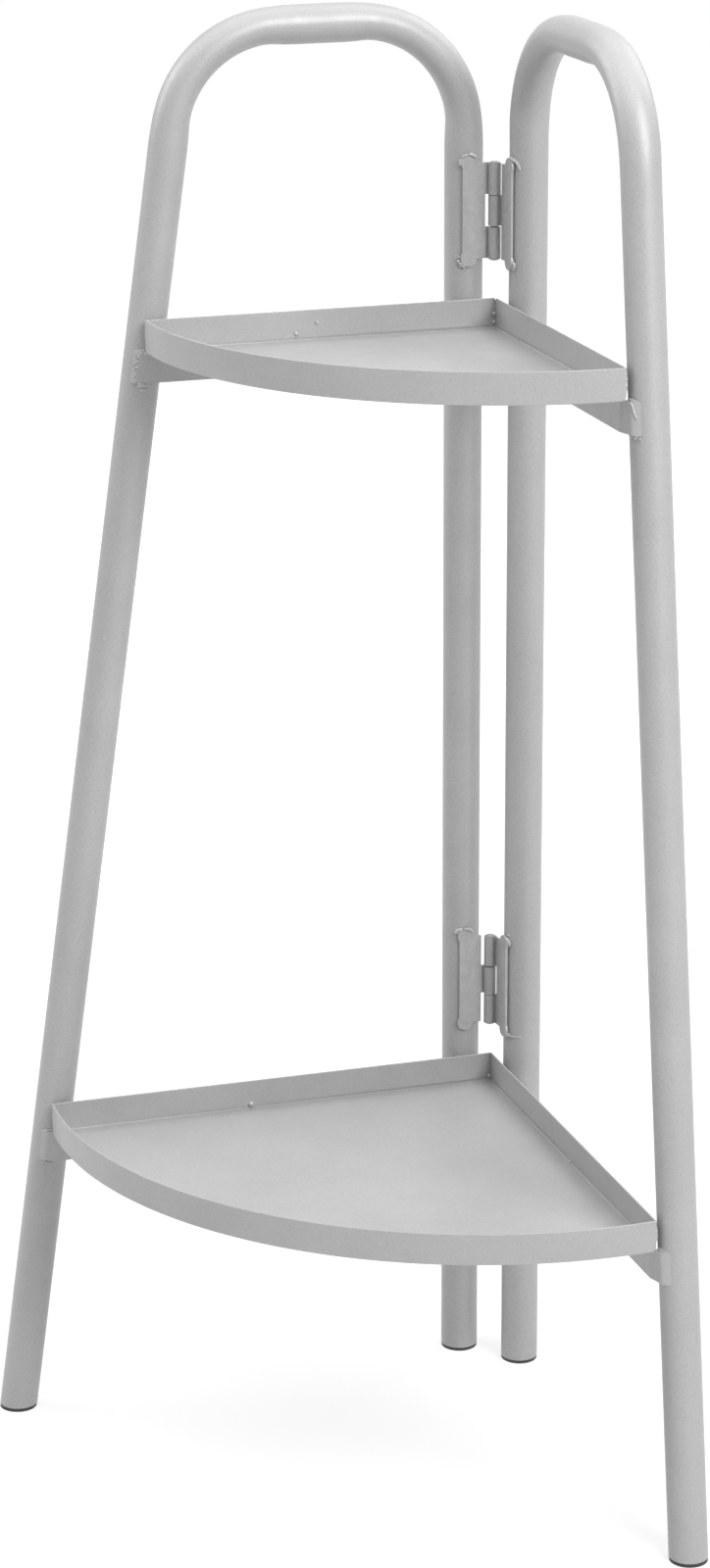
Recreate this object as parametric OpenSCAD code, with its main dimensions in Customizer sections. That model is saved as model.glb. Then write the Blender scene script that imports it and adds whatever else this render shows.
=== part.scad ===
// Folding corner plant shelf: two bent tube frames joined by a pair of butt hinges,
// with two fan-shaped sheet metal trays resting on flat bars across the frames.
// Sizes are in millimetres. The shelf stands on the floor at z = 0 and opens towards -Y.

/* [Frames] */
// Overall height of the stand
stand_height = 937; // [850:1:1050]
// Distance between the axes of the two upright legs
leg_gap = 46.5; // [44:0.5:56]
// Distance along the floor from an upright leg's axis to its sloping leg's axis
foot_spread = 316.8; // [290:0.1:340]
// Lean of the sloping legs from upright, in degrees
leg_lean = 8; // [5:0.5:10]
// Outer diameter of the frame tube
tube_d = 25; // [22:0.5:28]
// Wall thickness of the frame tube
tube_wall = 1.2; // [0.8:0.1:2]
// Radius of the tube's bends, at its centreline
bend_radius = 70; // [60:1:80]

/* [Crossbars] */
// Height of the flat bars that carry the trays
bar_height = 20; // [14:1:26]
// Thickness of the flat bars
bar_thick = 2.5; // [2:0.1:2.7]
// Gap between a bar's straight run and the tubes
bar_standoff = 2.3; // [1.8:0.1:2.4]
// Angle by which a bar's ends bend back onto the tubes, in degrees
bar_tab_angle = 16; // [12:1:24]
// Length of a bar's end past the line where it meets the tube
bar_tab_reach = 4; // [2:0.5:6]

/* [Trays] */
// Height of the lower tray's underside above the floor
lower_tray_z = 201.6; // [150:0.1:260]
// Gap between the lower tray's top edge and the lower hinge
lower_tray_headroom = 23.3; // [14:0.1:60]
// Gap between the upper tray's top edge and the upper hinge
upper_tray_headroom = 26.2; // [14:0.1:60]
// Height of the trays' edges
tray_edge_height = 20.5; // [12:0.5:30]
// Thickness of the trays' floors and side flanges
tray_sheet = 1.2; // [0.8:0.1:2]
// Thickness of the curved strip along a tray's front
rim_sheet = 1.2; // [0.8:0.1:2]
// Outside radius of the fold between a tray's floor and its flanges
fold_radius = 1.8; // [1:0.1:2.5]
// Distance from the tubes' inner faces to the trays' side flanges
tray_side_gap = 3; // [2.6:0.1:3.2]
// Distance by which the trays' side flanges pass the sloping legs' axes
flange_past_leg = 5; // [0:0.5:12]
// Distance from the lower tray's corner to the centre of its front curve
lower_curve_shift = 30; // [0:1:60]
// Distance from the upper tray's corner to the centre of its front curve
upper_curve_shift = 3; // [0:1:60]

/* [Hinges] */
// Height of a hinge's stack of knuckles
hinge_height = 62; // [50:1:70]
// Gap between the end of the tube's bend and the upper hinge
hinge_below_bend = 21.4; // [10:0.1:30]
// Thickness of the hinge leaves
leaf_thick = 1.75; // [1.5:0.05:2]
// Distance by which a leaf passes the line where it touches the upright leg
leaf_past_leg = 4.2; // [3:0.1:8]
// Distance from the tubes' inner faces to the hinge pins' axis
pin_inset = 5.3; // [5.2:0.1:6]
// Diameter of the hinge pins
pin_d = 4.6; // [4:0.1:5]
// Share of the hinge's height that each outer knuckle takes
outer_knuckle_share = 0.33; // [0.28:0.01:0.38]
// Radius of the round ears at the leaves' outer corners
ear_radius = 5.4; // [4:0.1:7]

/* [Feet] */
// Thickness of a foot plug's head under the tube's end
plug_head = 2.4; // [1.5:0.1:5]
// Length of a foot plug's stem inside the tube
plug_stem = 18; // [10:1:30]

/* [Hidden] */

// Clearances
seat_gap = 0.05;        // between pieces that are welded together
tray_rest_gap = 0.1;    // between a tray's floor and the bars under it
pin_clearance = 0.05;   // around a hinge pin, on the radius
knuckle_seat = 0.3;     // between the two knuckles that bear on each other
knuckle_play = 1.2;     // between the other two knuckles
head_gap = 0.15;        // between a pin's head and the knuckle under it
stem_fit = 0.05;        // around the fins of a foot plug, on the radius
notch_gap = 1.5;        // between a knuckle and the notch in the other leaf
curl_gap = 0.3;         // open seam where a knuckle's curl ends
curl_end = 12;          // angle of that seam from the leaf, in degrees
knuckle_lap = 0.3;      // by which a knuckle's sheet is drawn over its leaf

// Tube and frame
tube_r = tube_d / 2;
bore_r = tube_r - tube_wall;
top_axis_z = stand_height - tube_r;
bend_end_z = top_axis_z - bend_radius;
half_corner = 45;       // angle of each frame from the shelf's middle plane
slope_bend = 90 - leg_lean;
bend_draw = 0.1;        // by which the tube's radius is less in a bend
bend_lap = 0.5;         // by which the straight stretches run into the bends

// Distance along a frame from the upright leg's axis to the sloping leg's axis at height z
function leg_axis(z) = foot_spread - z * tan(leg_lean);

run_end = leg_axis(top_axis_z) - bend_radius * tan(slope_bend / 2);

// Along a frame, the place of the corner where the two planes at this inward offset meet
function corner_along(offset) = offset - leg_gap * cos(half_corner);

// Across the shelf, the place of that same corner
function corner_y(offset) = leg_gap / 2 - offset / cos(half_corner);

// Hinges
ear_overlap = 0.1;      // by which an ear's centre lies inside its leaf's end
ear_jut = 1.2;          // by which an ear stands out past its leaf's edge
pin_r = pin_d / 2;
knuckle_bore = pin_r + pin_clearance;
knuckle_r = knuckle_bore + leaf_thick;
pin_offset = tube_r + pin_inset;
pin_along = corner_along(pin_offset);
leaf_back = tube_r + seat_gap;
leaf_front = leaf_back + leaf_thick;
outer_knuckle = hinge_height * outer_knuckle_share;

// A leaf is one flat sheet that touches both the tube and the outside of its curl round the pin,
// so it leans a little from the frame's plane
pin_reach = norm([pin_along, pin_offset]);
pin_seat = leaf_back + knuckle_r;
pin_run = -sqrt(pin_reach * pin_reach - pin_seat * pin_seat);
leaf_tilt = acos(pin_seat / pin_reach) - atan2(-pin_along, pin_offset);
leaf_root = pin_run + knuckle_r + notch_gap;
ear_at = leaf_past_leg - ear_radius + ear_jut;
ear_heights = [ear_overlap, hinge_height - ear_overlap];
upper_hinge_z = bend_end_z - hinge_below_bend - hinge_height;
lower_hinge_z = lower_tray_z + tray_edge_height + lower_tray_headroom;
pin_head_rim = 1;       // by which a pin's head is wider than the pin
pin_head_r = pin_r + pin_head_rim;
pin_head_h = 1.1;
pin_head_steps = 6;

// Trays
upper_tray_z = upper_hinge_z - upper_tray_headroom - tray_edge_height;
flange_offset = tube_r + tray_side_gap;
tray_corner_y = corner_y(flange_offset);

// Length of a tray's side flanges, from the corner at the back
function flange_length(tray_z) =
    leg_axis(tray_z + tray_edge_height) + flange_past_leg - corner_along(flange_offset);

// Radius of a tray's front curve, to the inner face of the rim
function curve_radius(length, shift) =
    norm([length * sin(half_corner), length * cos(half_corner) - shift]);

// Front of a tray, measured from its back corner
function tray_depth(tray_z, shift) = shift + curve_radius(flange_length(tray_z), shift) + rim_sheet;

// Crossbars
bar_back = tube_r + bar_standoff;
bar_front = bar_back + bar_thick;
upper_bar_z = upper_tray_z - tray_rest_gap - bar_height;
lower_bar_z = lower_tray_z - tray_rest_gap - bar_height;

// The origin lies on the floor under the middle of the whole shelf
shelf_front = tray_corner_y - tray_depth(lower_tray_z, lower_curve_shift);
middle_y = (tube_r + shelf_front) / 2;

// Welds
bead_r = 2;
tray_bead_r = 1.2;
hinge_bead_r = 2;
bead_sink = 0.3;        // height of a bead's axis above the tube's surface
ear_bead_jut = 0.6;     // from an ear's edge to the ends of the axis of the bead across it
ear_bead_depth = 0.7;   // of that axis inside the tube's foremost line
ear_bead_start = 15;    // angle of the first of those ends from the ear's end, in degrees
ear_bead_end = 95;      // angle of the second

// Foot plugs
plug_head_r = tube_r - 0.2;
fin_reach = 1.6;        // from a stem's core to the bore
plug_core_r = bore_r - fin_reach;
plug_wall = 1.6;
fin_r = bore_r - stem_fit;
fin_h = 1.2;
fin_count = 4;

steel_grey = [0.74, 0.74, 0.74];
pin_grey = [0.62, 0.62, 0.62];
weld_grey = [0.68, 0.68, 0.68];
plug_black = [0.12, 0.12, 0.12];

// Places a frame's own coordinates in the shelf: x runs along the left frame from its upright
// leg's axis, y inward from the frame's plane
module left_side() {
    translate([-leg_gap / 2, -middle_y, 0])
        rotate([0, 0, 180 + half_corner])
            children();
}

module right_side() {
    mirror([1, 0, 0])
        left_side()
            children();
}

// Places a tray's coordinates, which start at its back corner, in the shelf
module tray_place(tray_z) {
    translate([0, tray_corner_y - middle_y, tray_z])
        children();
}

// A straight stretch of round bar from here upwards, which runs a little way into the bends at
// its ends, with what follows at its far end
module straight(radius, length) {
    translate([0, 0, -bend_lap])
        cylinder(r = radius, h = length + 2 * bend_lap, $fn = 64);
    translate([0, 0, length])
        children();
}

// A bend of round bar from here, turning from upwards towards +X, with what follows at its far
// end. Bending draws the bar in a little.
module bend(radius, angle) {
    translate([bend_radius, 0, 0]) {
        rotate([90, 0, 0])
            rotate([0, 0, 180 - angle])
                rotate_extrude(angle = angle, $fn = 96)
                    translate([bend_radius, 0])
                        circle(r = radius - bend_draw, $fn = 64);
        rotate([0, angle, 0])
            translate([-bend_radius, 0, 0])
                children();
    }
}

// Round bar along a whole frame: up the upright leg, over, and down the sloping leg, with both
// ends cut level at the height given
module frame_path(radius, start_z) {
    below_floor = 2 * tube_d;
    slope_length = (bend_end_z + bend_radius * sin(leg_lean)) / cos(leg_lean) + below_floor;
    difference() {
        straight(radius, bend_end_z)
            bend(radius, 90)
                straight(radius, run_end - bend_radius)
                    bend(radius, slope_bend)
                        straight(radius, slope_length);
        translate([-tube_d, -tube_d, start_z - 2 * below_floor])
            cube([foot_spread + 3 * tube_d, 2 * tube_d, 2 * below_floor]);
    }
}

// The sloping leg alone, cut level at the height given
module sloping_leg(radius, start_z) {
    top_z = bend_end_z;
    difference() {
        translate([leg_axis(top_z), 0, top_z])
            rotate([0, 180 - leg_lean, 0])
                cylinder(r = radius, h = top_z / cos(leg_lean) + tube_d, $fn = 64);
        translate([foot_spread / 2, -tube_d, start_z - 4 * tube_d])
            cube([foot_spread, 2 * tube_d, 4 * tube_d]);
    }
}

module frame_tube() {
    difference() {
        frame_path(tube_r, plug_head);
        frame_path(bore_r, plug_head - seat_gap);
    }
}

// The stretches of solid tube that weld beads lie on
module tube_stock() {
    cylinder(r = tube_r, h = bend_end_z, $fn = 64);
    sloping_leg(tube_r, plug_head);
}

// A point beside a leg on the line of a bar's bent end: reach runs along the bar's end from
// where it meets the tube, rise is the distance from the leg's axis; side is 1 at the sloping
// leg and -1 at the upright leg
function tab_point(leg_at, side, reach, rise) = [
    leg_at + side * (rise * sin(bar_tab_angle) + reach * cos(bar_tab_angle)),
    rise * cos(bar_tab_angle) - reach * sin(bar_tab_angle)
];

// The place where a bar's face at this offset turns into its bent end
function tab_bend(leg_at, side, rise, offset) = [
    leg_at + side * (rise - cos(bar_tab_angle) * offset) / sin(bar_tab_angle),
    offset
];

// A flat bar on edge from leg to leg, with its ends bent back onto the tubes
module crossbar(bar_z) {
    far_leg = leg_axis(bar_z);
    back_rise = tube_r + seat_gap;
    front_rise = back_rise + bar_thick;
    translate([0, 0, bar_z])
        linear_extrude(bar_height)
            polygon([
                tab_point(0, -1, bar_tab_reach, back_rise),
                tab_bend(0, -1, back_rise, bar_back),
                tab_bend(far_leg, 1, back_rise, bar_back),
                tab_point(far_leg, 1, bar_tab_reach, back_rise),
                tab_point(far_leg, 1, bar_tab_reach, front_rise),
                tab_bend(far_leg, 1, front_rise, bar_front),
                tab_bend(0, -1, front_rise, bar_front),
                tab_point(0, -1, bar_tab_reach, front_rise)
            ]);
}

// Turns what is drawn on a hinge leaf's own plane round the upright leg to where it lies
module leaf_plane() {
    rotate([0, 0, -leaf_tilt])
        children();
}

// The section of a knuckle: the sheet runs on from the leaf and curls round the pin
module knuckle_section() {
    difference() {
        union() {
            translate([pin_run, pin_seat])
                circle(r = knuckle_r, $fn = 48);
            translate([pin_run, leaf_back])
                square([leaf_root + knuckle_lap - pin_run, leaf_thick]);
        }
        translate([pin_run, pin_seat])
            circle(r = knuckle_bore, $fn = 48);
        translate([pin_run, pin_seat])
            rotate(-curl_end)
                translate([pin_r, -curl_gap / 2])
                    square([knuckle_r, curl_gap]);
    }
}

// One leaf of a hinge with its knuckles, given as heights above the hinge's lower end
module hinge_leaf(hinge_z, knuckles) {
    translate([0, 0, hinge_z])
        leaf_plane() {
            translate([leaf_root, leaf_back, 0])
                cube([leaf_past_leg - leaf_root, leaf_thick, hinge_height]);
            translate([0, leaf_front, 0])
                rotate([90, 0, 0])
                    for (ear_z = ear_heights)
                        translate([ear_at, ear_z, 0])
                            cylinder(r = ear_radius, h = leaf_thick, $fn = 48);
            for (span = knuckles)
                translate([0, 0, span[0]])
                    linear_extrude(span[1] - span[0])
                        knuckle_section();
        }
}

// Heights of the two outer knuckles, and of the middle one with its wider gap above or below
outer_knuckles = [[0, outer_knuckle], [hinge_height - outer_knuckle, hinge_height]];

function middle_knuckle(gap_below, gap_above) =
    [[outer_knuckle + gap_below, hinge_height - outer_knuckle - gap_above]];

// A hinge pin with a low domed head at each end
module hinge_pin(hinge_z) {
    head = [for (i = [0 : pin_head_steps])
        [pin_head_r * cos(90 * i / pin_head_steps), pin_head_h * sin(90 * i / pin_head_steps)]];
    top = hinge_height + head_gap;
    left_side()
        translate([pin_along, pin_offset, hinge_z])
            rotate_extrude($fn = 48)
                polygon(concat(
                    [[0, -head_gap - pin_head_h]],
                    [for (i = [pin_head_steps - 1 : -1 : 0]) [head[i][0], -head_gap - head[i][1]]],
                    [[pin_r, -head_gap], [pin_r, top]],
                    [for (p = head) [p[0], top + p[1]]]
                ));
}

// A wedge between the planes of a tray's two flanges, with its corner moved forward by inset
module tray_wedge(inset, reach) {
    polygon([[0, -inset / sin(half_corner)], [-reach, -inset / sin(half_corner) - reach],
             [reach, -inset / sin(half_corner) - reach]]);
}

// A tray's floor and its two folded side flanges, from one sheet
module tray_pan(tray_z, shift) {
    side = flange_length(tray_z);
    radius = curve_radius(side, shift) - seat_gap;
    tray_place(tray_z)
        difference() {
            linear_extrude(tray_edge_height)
                intersection() {
                    tray_wedge(0, 2 * side);
                    translate([0, -shift])
                        circle(r = radius, $fn = 180);
                }
            translate([0, 0, tray_sheet])
                linear_extrude(tray_edge_height)
                    tray_wedge(tray_sheet, 2 * side);
            for (turn = [0, 1])
                mirror([turn, 0, 0])
                    rotate([0, 0, 180 + half_corner])
                        fold_round(side);
        }
}

// What the outside of a fold leaves away from a square edge, along the whole flange
module fold_round(side) {
    spare = 2;
    rotate([90, 0, 90])
        translate([0, 0, -spare])
            linear_extrude(side + 2 * spare)
                difference() {
                    translate([-spare, -spare])
                        square(fold_radius + spare);
                    translate([fold_radius, fold_radius])
                        circle(r = fold_radius, $fn = 32);
                }
}

// The curved strip along a tray's front
module tray_rim(tray_z, shift) {
    side = flange_length(tray_z);
    radius = curve_radius(side, shift);
    tray_place(tray_z)
        linear_extrude(tray_edge_height)
            intersection() {
                tray_wedge(0, 2 * side);
                difference() {
                    translate([0, -shift])
                        circle(r = radius + rim_sheet, $fn = 180);
                    translate([0, -shift])
                        circle(r = radius, $fn = 180);
                }
            }
}

// A round-ended weld bead between two points
module bead(from, to, radius) {
    run = to - from;
    length = norm(run);
    translate(from)
        rotate([0, acos(run[2] / length), atan2(run[1], run[0])]) {
            cylinder(r = radius, h = length, $fn = 24);
            sphere(r = radius, $fn = 24);
            translate([0, 0, length])
                sphere(r = radius, $fn = 24);
        }
}

// Beads across the outer corners of a hinge leaf's ears
module hinge_welds(hinge_z, knuckles) {
    difference() {
        leaf_plane()
            for (i = [0, 1])
                translate([ear_at, tube_r - ear_bead_depth, hinge_z + ear_heights[i]])
                    mirror([0, 0, 1 - i])
                        rotate([90, 0, 0])
                            ear_bead();
        tube_stock();
        hinge_leaf(hinge_z, knuckles);
    }
}

// A bead across an ear's outer corner, about its centre, with the ear's end on the Y axis
module ear_bead() {
    reach = ear_radius + ear_bead_jut;
    bead(reach * [sin(ear_bead_start), cos(ear_bead_start), 0],
         reach * [sin(ear_bead_end), cos(ear_bead_end), 0], hinge_bead_r);
}

// Beads above and below a bar's end, at the leg given
module bar_end_welds(bar_z, leg_at, side) {
    for (bead_z = [bar_z - bead_sink, bar_z + bar_height + bead_sink]) {
        near = tab_point(leg_at, side, -bar_tab_reach / 2, tube_r + bead_sink);
        far = tab_point(leg_at, side, bar_tab_reach, tube_r + bead_sink);
        bead([near[0], near[1], bead_z], [far[0], far[1], bead_z], bead_r);
    }
}

module crossbar_welds(bar_z) {
    difference() {
        union() {
            bar_end_welds(bar_z, 0, -1);
            bar_end_welds(bar_z, leg_axis(bar_z), 1);
        }
        tube_stock();
        crossbar(bar_z);
        // The trays' undersides pass over the bar, so no bead stands in their way
        translate([0, flange_offset - tray_side_gap / 6, bar_z + bar_height])
            cube([foot_spread, tube_d, tray_edge_height]);
    }
}

// Beads up a tray's back corner and up the joints between its flanges and its rim
module tray_welds(tray_z) {
    side = flange_length(tray_z);
    joint = [side * sin(half_corner), -side * cos(half_corner)];
    low_z = tray_edge_height * 0.3;
    high_z = tray_edge_height * 0.8;
    difference() {
        tray_place(tray_z) {
            bead([0, 0, low_z], [0, 0, high_z], tray_bead_r);
            for (turn = [-1, 1])
                bead([turn * joint[0], joint[1], low_z], [turn * joint[0], joint[1], high_z], tray_bead_r);
        }
        tray_place(tray_z)
            linear_extrude(tray_edge_height)
                tray_wedge(0, 2 * side);
    }
}

// The profile of a plug's stem: a cup with fins round it, open at the top
module plug_stem_profile() {
    difference() {
        union() {
            square([plug_core_r, plug_stem]);
            for (i = [1 : fin_count])
                translate([0, i * plug_stem / (fin_count + 0.5) - fin_h / 2])
                    square([fin_r, fin_h]);
        }
        translate([0, plug_wall])
            square([plug_core_r - plug_wall, plug_stem]);
    }
}

// A plug for a level cut tube end; the leg leans by this angle
module foot_plug(lean) {
    reach = 2 * plug_head;
    intersection() {
        rotate([0, -lean, 0])
            translate([0, 0, -reach])
                cylinder(r = plug_head_r, h = 2 * reach + plug_head, $fn = 64);
        translate([-tube_d, -tube_d, 0])
            cube([2 * tube_d, 2 * tube_d, plug_head]);
    }
    rotate([0, -lean, 0])
        difference() {
            rotate_extrude($fn = 64)
                plug_stem_profile();
            rotate([0, lean, 0])
                translate([-tube_d, -tube_d, -tube_d])
                    cube([2 * tube_d, 2 * tube_d, tube_d + plug_head]);
        }
}

module left_frame_tube() { color(steel_grey) left_side() frame_tube(); }
module right_frame_tube() { color(steel_grey) right_side() frame_tube(); }

module left_upper_crossbar() { color(steel_grey) left_side() crossbar(upper_bar_z); }
module left_lower_crossbar() { color(steel_grey) left_side() crossbar(lower_bar_z); }
module right_upper_crossbar() { color(steel_grey) right_side() crossbar(upper_bar_z); }
module right_lower_crossbar() { color(steel_grey) right_side() crossbar(lower_bar_z); }

module upper_hinge_left_leaf() { color(steel_grey) left_side() hinge_leaf(upper_hinge_z, outer_knuckles); }
module upper_hinge_right_leaf() {
    color(steel_grey) right_side() hinge_leaf(upper_hinge_z, middle_knuckle(knuckle_play, knuckle_seat));
}
module upper_hinge_pin() { color(pin_grey) hinge_pin(upper_hinge_z); }

// The lower hinge is fitted the other way up, with its single knuckle on the left leaf
module lower_hinge_left_leaf() {
    color(steel_grey) left_side() hinge_leaf(lower_hinge_z, middle_knuckle(knuckle_seat, knuckle_play));
}
module lower_hinge_right_leaf() { color(steel_grey) right_side() hinge_leaf(lower_hinge_z, outer_knuckles); }
module lower_hinge_pin() { color(pin_grey) hinge_pin(lower_hinge_z); }

module upper_tray_pan() { color(steel_grey) tray_pan(upper_tray_z, upper_curve_shift); }
module upper_tray_rim() { color(steel_grey) tray_rim(upper_tray_z, upper_curve_shift); }
module lower_tray_pan() { color(steel_grey) tray_pan(lower_tray_z, lower_curve_shift); }
module lower_tray_rim() { color(steel_grey) tray_rim(lower_tray_z, lower_curve_shift); }

module left_back_foot_plug() { color(plug_black) left_side() foot_plug(0); }
module left_front_foot_plug() { color(plug_black) left_side() translate([foot_spread, 0, 0]) foot_plug(leg_lean); }
module right_back_foot_plug() { color(plug_black) right_side() foot_plug(0); }
module right_front_foot_plug() { color(plug_black) right_side() translate([foot_spread, 0, 0]) foot_plug(leg_lean); }

module left_hinge_welds() {
    color(weld_grey) left_side() {
        hinge_welds(upper_hinge_z, outer_knuckles);
        hinge_welds(lower_hinge_z, middle_knuckle(knuckle_seat, knuckle_play));
    }
}
module right_hinge_welds() {
    color(weld_grey) right_side() {
        hinge_welds(upper_hinge_z, middle_knuckle(knuckle_play, knuckle_seat));
        hinge_welds(lower_hinge_z, outer_knuckles);
    }
}
module left_crossbar_welds() {
    color(weld_grey) left_side() {
        crossbar_welds(upper_bar_z);
        crossbar_welds(lower_bar_z);
    }
}
module right_crossbar_welds() {
    color(weld_grey) right_side() {
        crossbar_welds(upper_bar_z);
        crossbar_welds(lower_bar_z);
    }
}
module upper_tray_welds() { color(weld_grey) tray_welds(upper_tray_z); }
module lower_tray_welds() { color(weld_grey) tray_welds(lower_tray_z); }

left_frame_tube();
right_frame_tube();
left_upper_crossbar();
left_lower_crossbar();
right_upper_crossbar();
right_lower_crossbar();
upper_hinge_left_leaf();
upper_hinge_right_leaf();
upper_hinge_pin();
lower_hinge_left_leaf();
lower_hinge_right_leaf();
lower_hinge_pin();
upper_tray_pan();
upper_tray_rim();
lower_tray_pan();
lower_tray_rim();
left_back_foot_plug();
left_front_foot_plug();
right_back_foot_plug();
right_front_foot_plug();
left_hinge_welds();
right_hinge_welds();
left_crossbar_welds();
right_crossbar_welds();
upper_tray_welds();
lower_tray_welds();
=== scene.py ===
"""A folding corner plant shelf in grey powder coat, dressed for the studio.

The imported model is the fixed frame. Sizes are in millimetres and meshes are made in metres, in
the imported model's own axes: z is up, the floor is z = 0 and the shelf opens towards -y.
"""

import logging
import math
from collections.abc import Callable
from dataclasses import dataclass, field
from enum import Enum
from itertools import accumulate, pairwise
from typing import Any

import bmesh
import bpy
from mathutils import Matrix, Vector


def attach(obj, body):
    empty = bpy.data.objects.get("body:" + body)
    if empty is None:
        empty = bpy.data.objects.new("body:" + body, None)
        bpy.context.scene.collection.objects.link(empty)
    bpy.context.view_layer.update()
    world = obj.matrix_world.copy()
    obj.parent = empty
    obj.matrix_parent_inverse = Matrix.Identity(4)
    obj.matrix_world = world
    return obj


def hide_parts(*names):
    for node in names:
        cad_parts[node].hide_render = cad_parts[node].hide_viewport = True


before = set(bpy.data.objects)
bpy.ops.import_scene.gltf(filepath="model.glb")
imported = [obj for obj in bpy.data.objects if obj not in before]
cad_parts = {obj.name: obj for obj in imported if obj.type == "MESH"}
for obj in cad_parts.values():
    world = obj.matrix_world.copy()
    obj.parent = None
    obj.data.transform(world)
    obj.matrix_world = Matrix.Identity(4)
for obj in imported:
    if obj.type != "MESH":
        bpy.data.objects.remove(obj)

MM = 0.001
HALF_ROOT = math.sqrt(0.5)
WHITE = (1, 1, 1, 1)
MIDDLE_RANGE = (0.3, 0.7)  # where nearly all of a noise's values lie
BEAD_END = 0.02  # share of a bead's radius that is left at its very ends
ROUGH, SMOOTH = 0.09, 0.03  # ripples of a bead, as a share of its radius
LUMP_SIZE = 2.2  # size of the welds' lumps in millimetres
SPOT_SEED = 0.3  # what a piece's spots add to its seed
FOLD_STEPS = 6  # facets across the fold between a tray's floor and its flange
Socket = bpy.types.NodeSocket
log = logging.getLogger("plant_shelf")


class Side(Enum):
    """The two frames of the shelf, as seen from the front."""

    LEFT = 1
    RIGHT = -1

    @property
    def word(self) -> str:
        """Return the word that the frame's pieces are named with."""
        return self.name.lower()

    @property
    def body(self) -> str:
        """Return the name of the frame's body."""
        return f"{self.word}_frame"


class Level(Enum):
    """The two heights at which there is a tray, a pair of bars and a hinge."""

    UPPER = "upper"
    LOWER = "lower"


Where = tuple[Level, Side]


class Surface(Enum):
    """The kinds of surface: the name of the finish, and the name of a material slot."""

    TUBE = "powder_coat_on_tube", "powder_coat"
    SHEET = "powder_coat_on_sheet", "powder_coat"
    BAR = "powder_coat_on_bar", "powder_coat"
    HINGE = "powder_coat_on_hinge", "powder_coat"
    WELD = "coated_weld", "coated_weld"
    SEAM = "coated_seam", "coated_weld"
    PIN = "coated_pin", "coated_pin"
    PLUG = "black_plug", "black_plug"

    @property
    def title(self) -> str:
        """Return the name of the finish."""
        return self.value[0]

    @property
    def slot(self) -> str:
        """Return the name of the material slot."""
        return self.value[1]


@dataclass(frozen=True)
class ShelfSizes:
    """The sizes that several sub-assemblies share, in millimetres and degrees."""

    height: float = 937.0
    leg_gap: float = 46.5
    foot_spread: float = 316.8
    lean: float = 8.0
    tube_r: float = 12.5
    middle_y: float = -152.4535
    seat_gap: float = 0.05

    def leg_axis(self, z: float) -> float:
        """Return how far the sloping leg's axis is from the upright one's at height z."""
        return self.foot_spread - z * math.tan(math.radians(self.lean))

    def place(self, side: Side, along: float, inward: float, z: float) -> Vector:
        """Turn a frame's own coordinates into the shelf's.

        Args:
            side: The frame.
            along: Distance along the frame from the upright leg's axis.
            inward: Distance from the frame's plane towards the trays.
            z: Height above the floor.

        Returns:
            The point in metres.
        """
        x = -self.leg_gap / 2 + (inward - along) * HALF_ROOT
        y = -self.middle_y - (along + inward) * HALF_ROOT
        return Vector((x * side.value, y, z)) * MM

    def heading(self, side: Side, along: float, inward: float) -> Vector:
        """Return the level direction, of length one, that goes this far along and inward."""
        x = (inward - along) * HALF_ROOT * side.value
        return Vector((x, -(along + inward) * HALF_ROOT, 0)).normalized()


def smooth_step(value: float) -> float:
    """Return value held to 0..1 and eased at both ends."""
    held = min(1.0, max(0.0, value))
    return held * held * (3 - 2 * held)


def spaced(start: float, end: float, count: int) -> list[float]:
    """Return the ends of count equal steps from start to end."""
    return [start + (end - start) * k / count for k in range(count + 1)]


def sin_cos(degrees: float) -> tuple[float, float]:
    """Return the sine and the cosine of an angle in degrees."""
    return math.sin(math.radians(degrees)), math.cos(math.radians(degrees))


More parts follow.
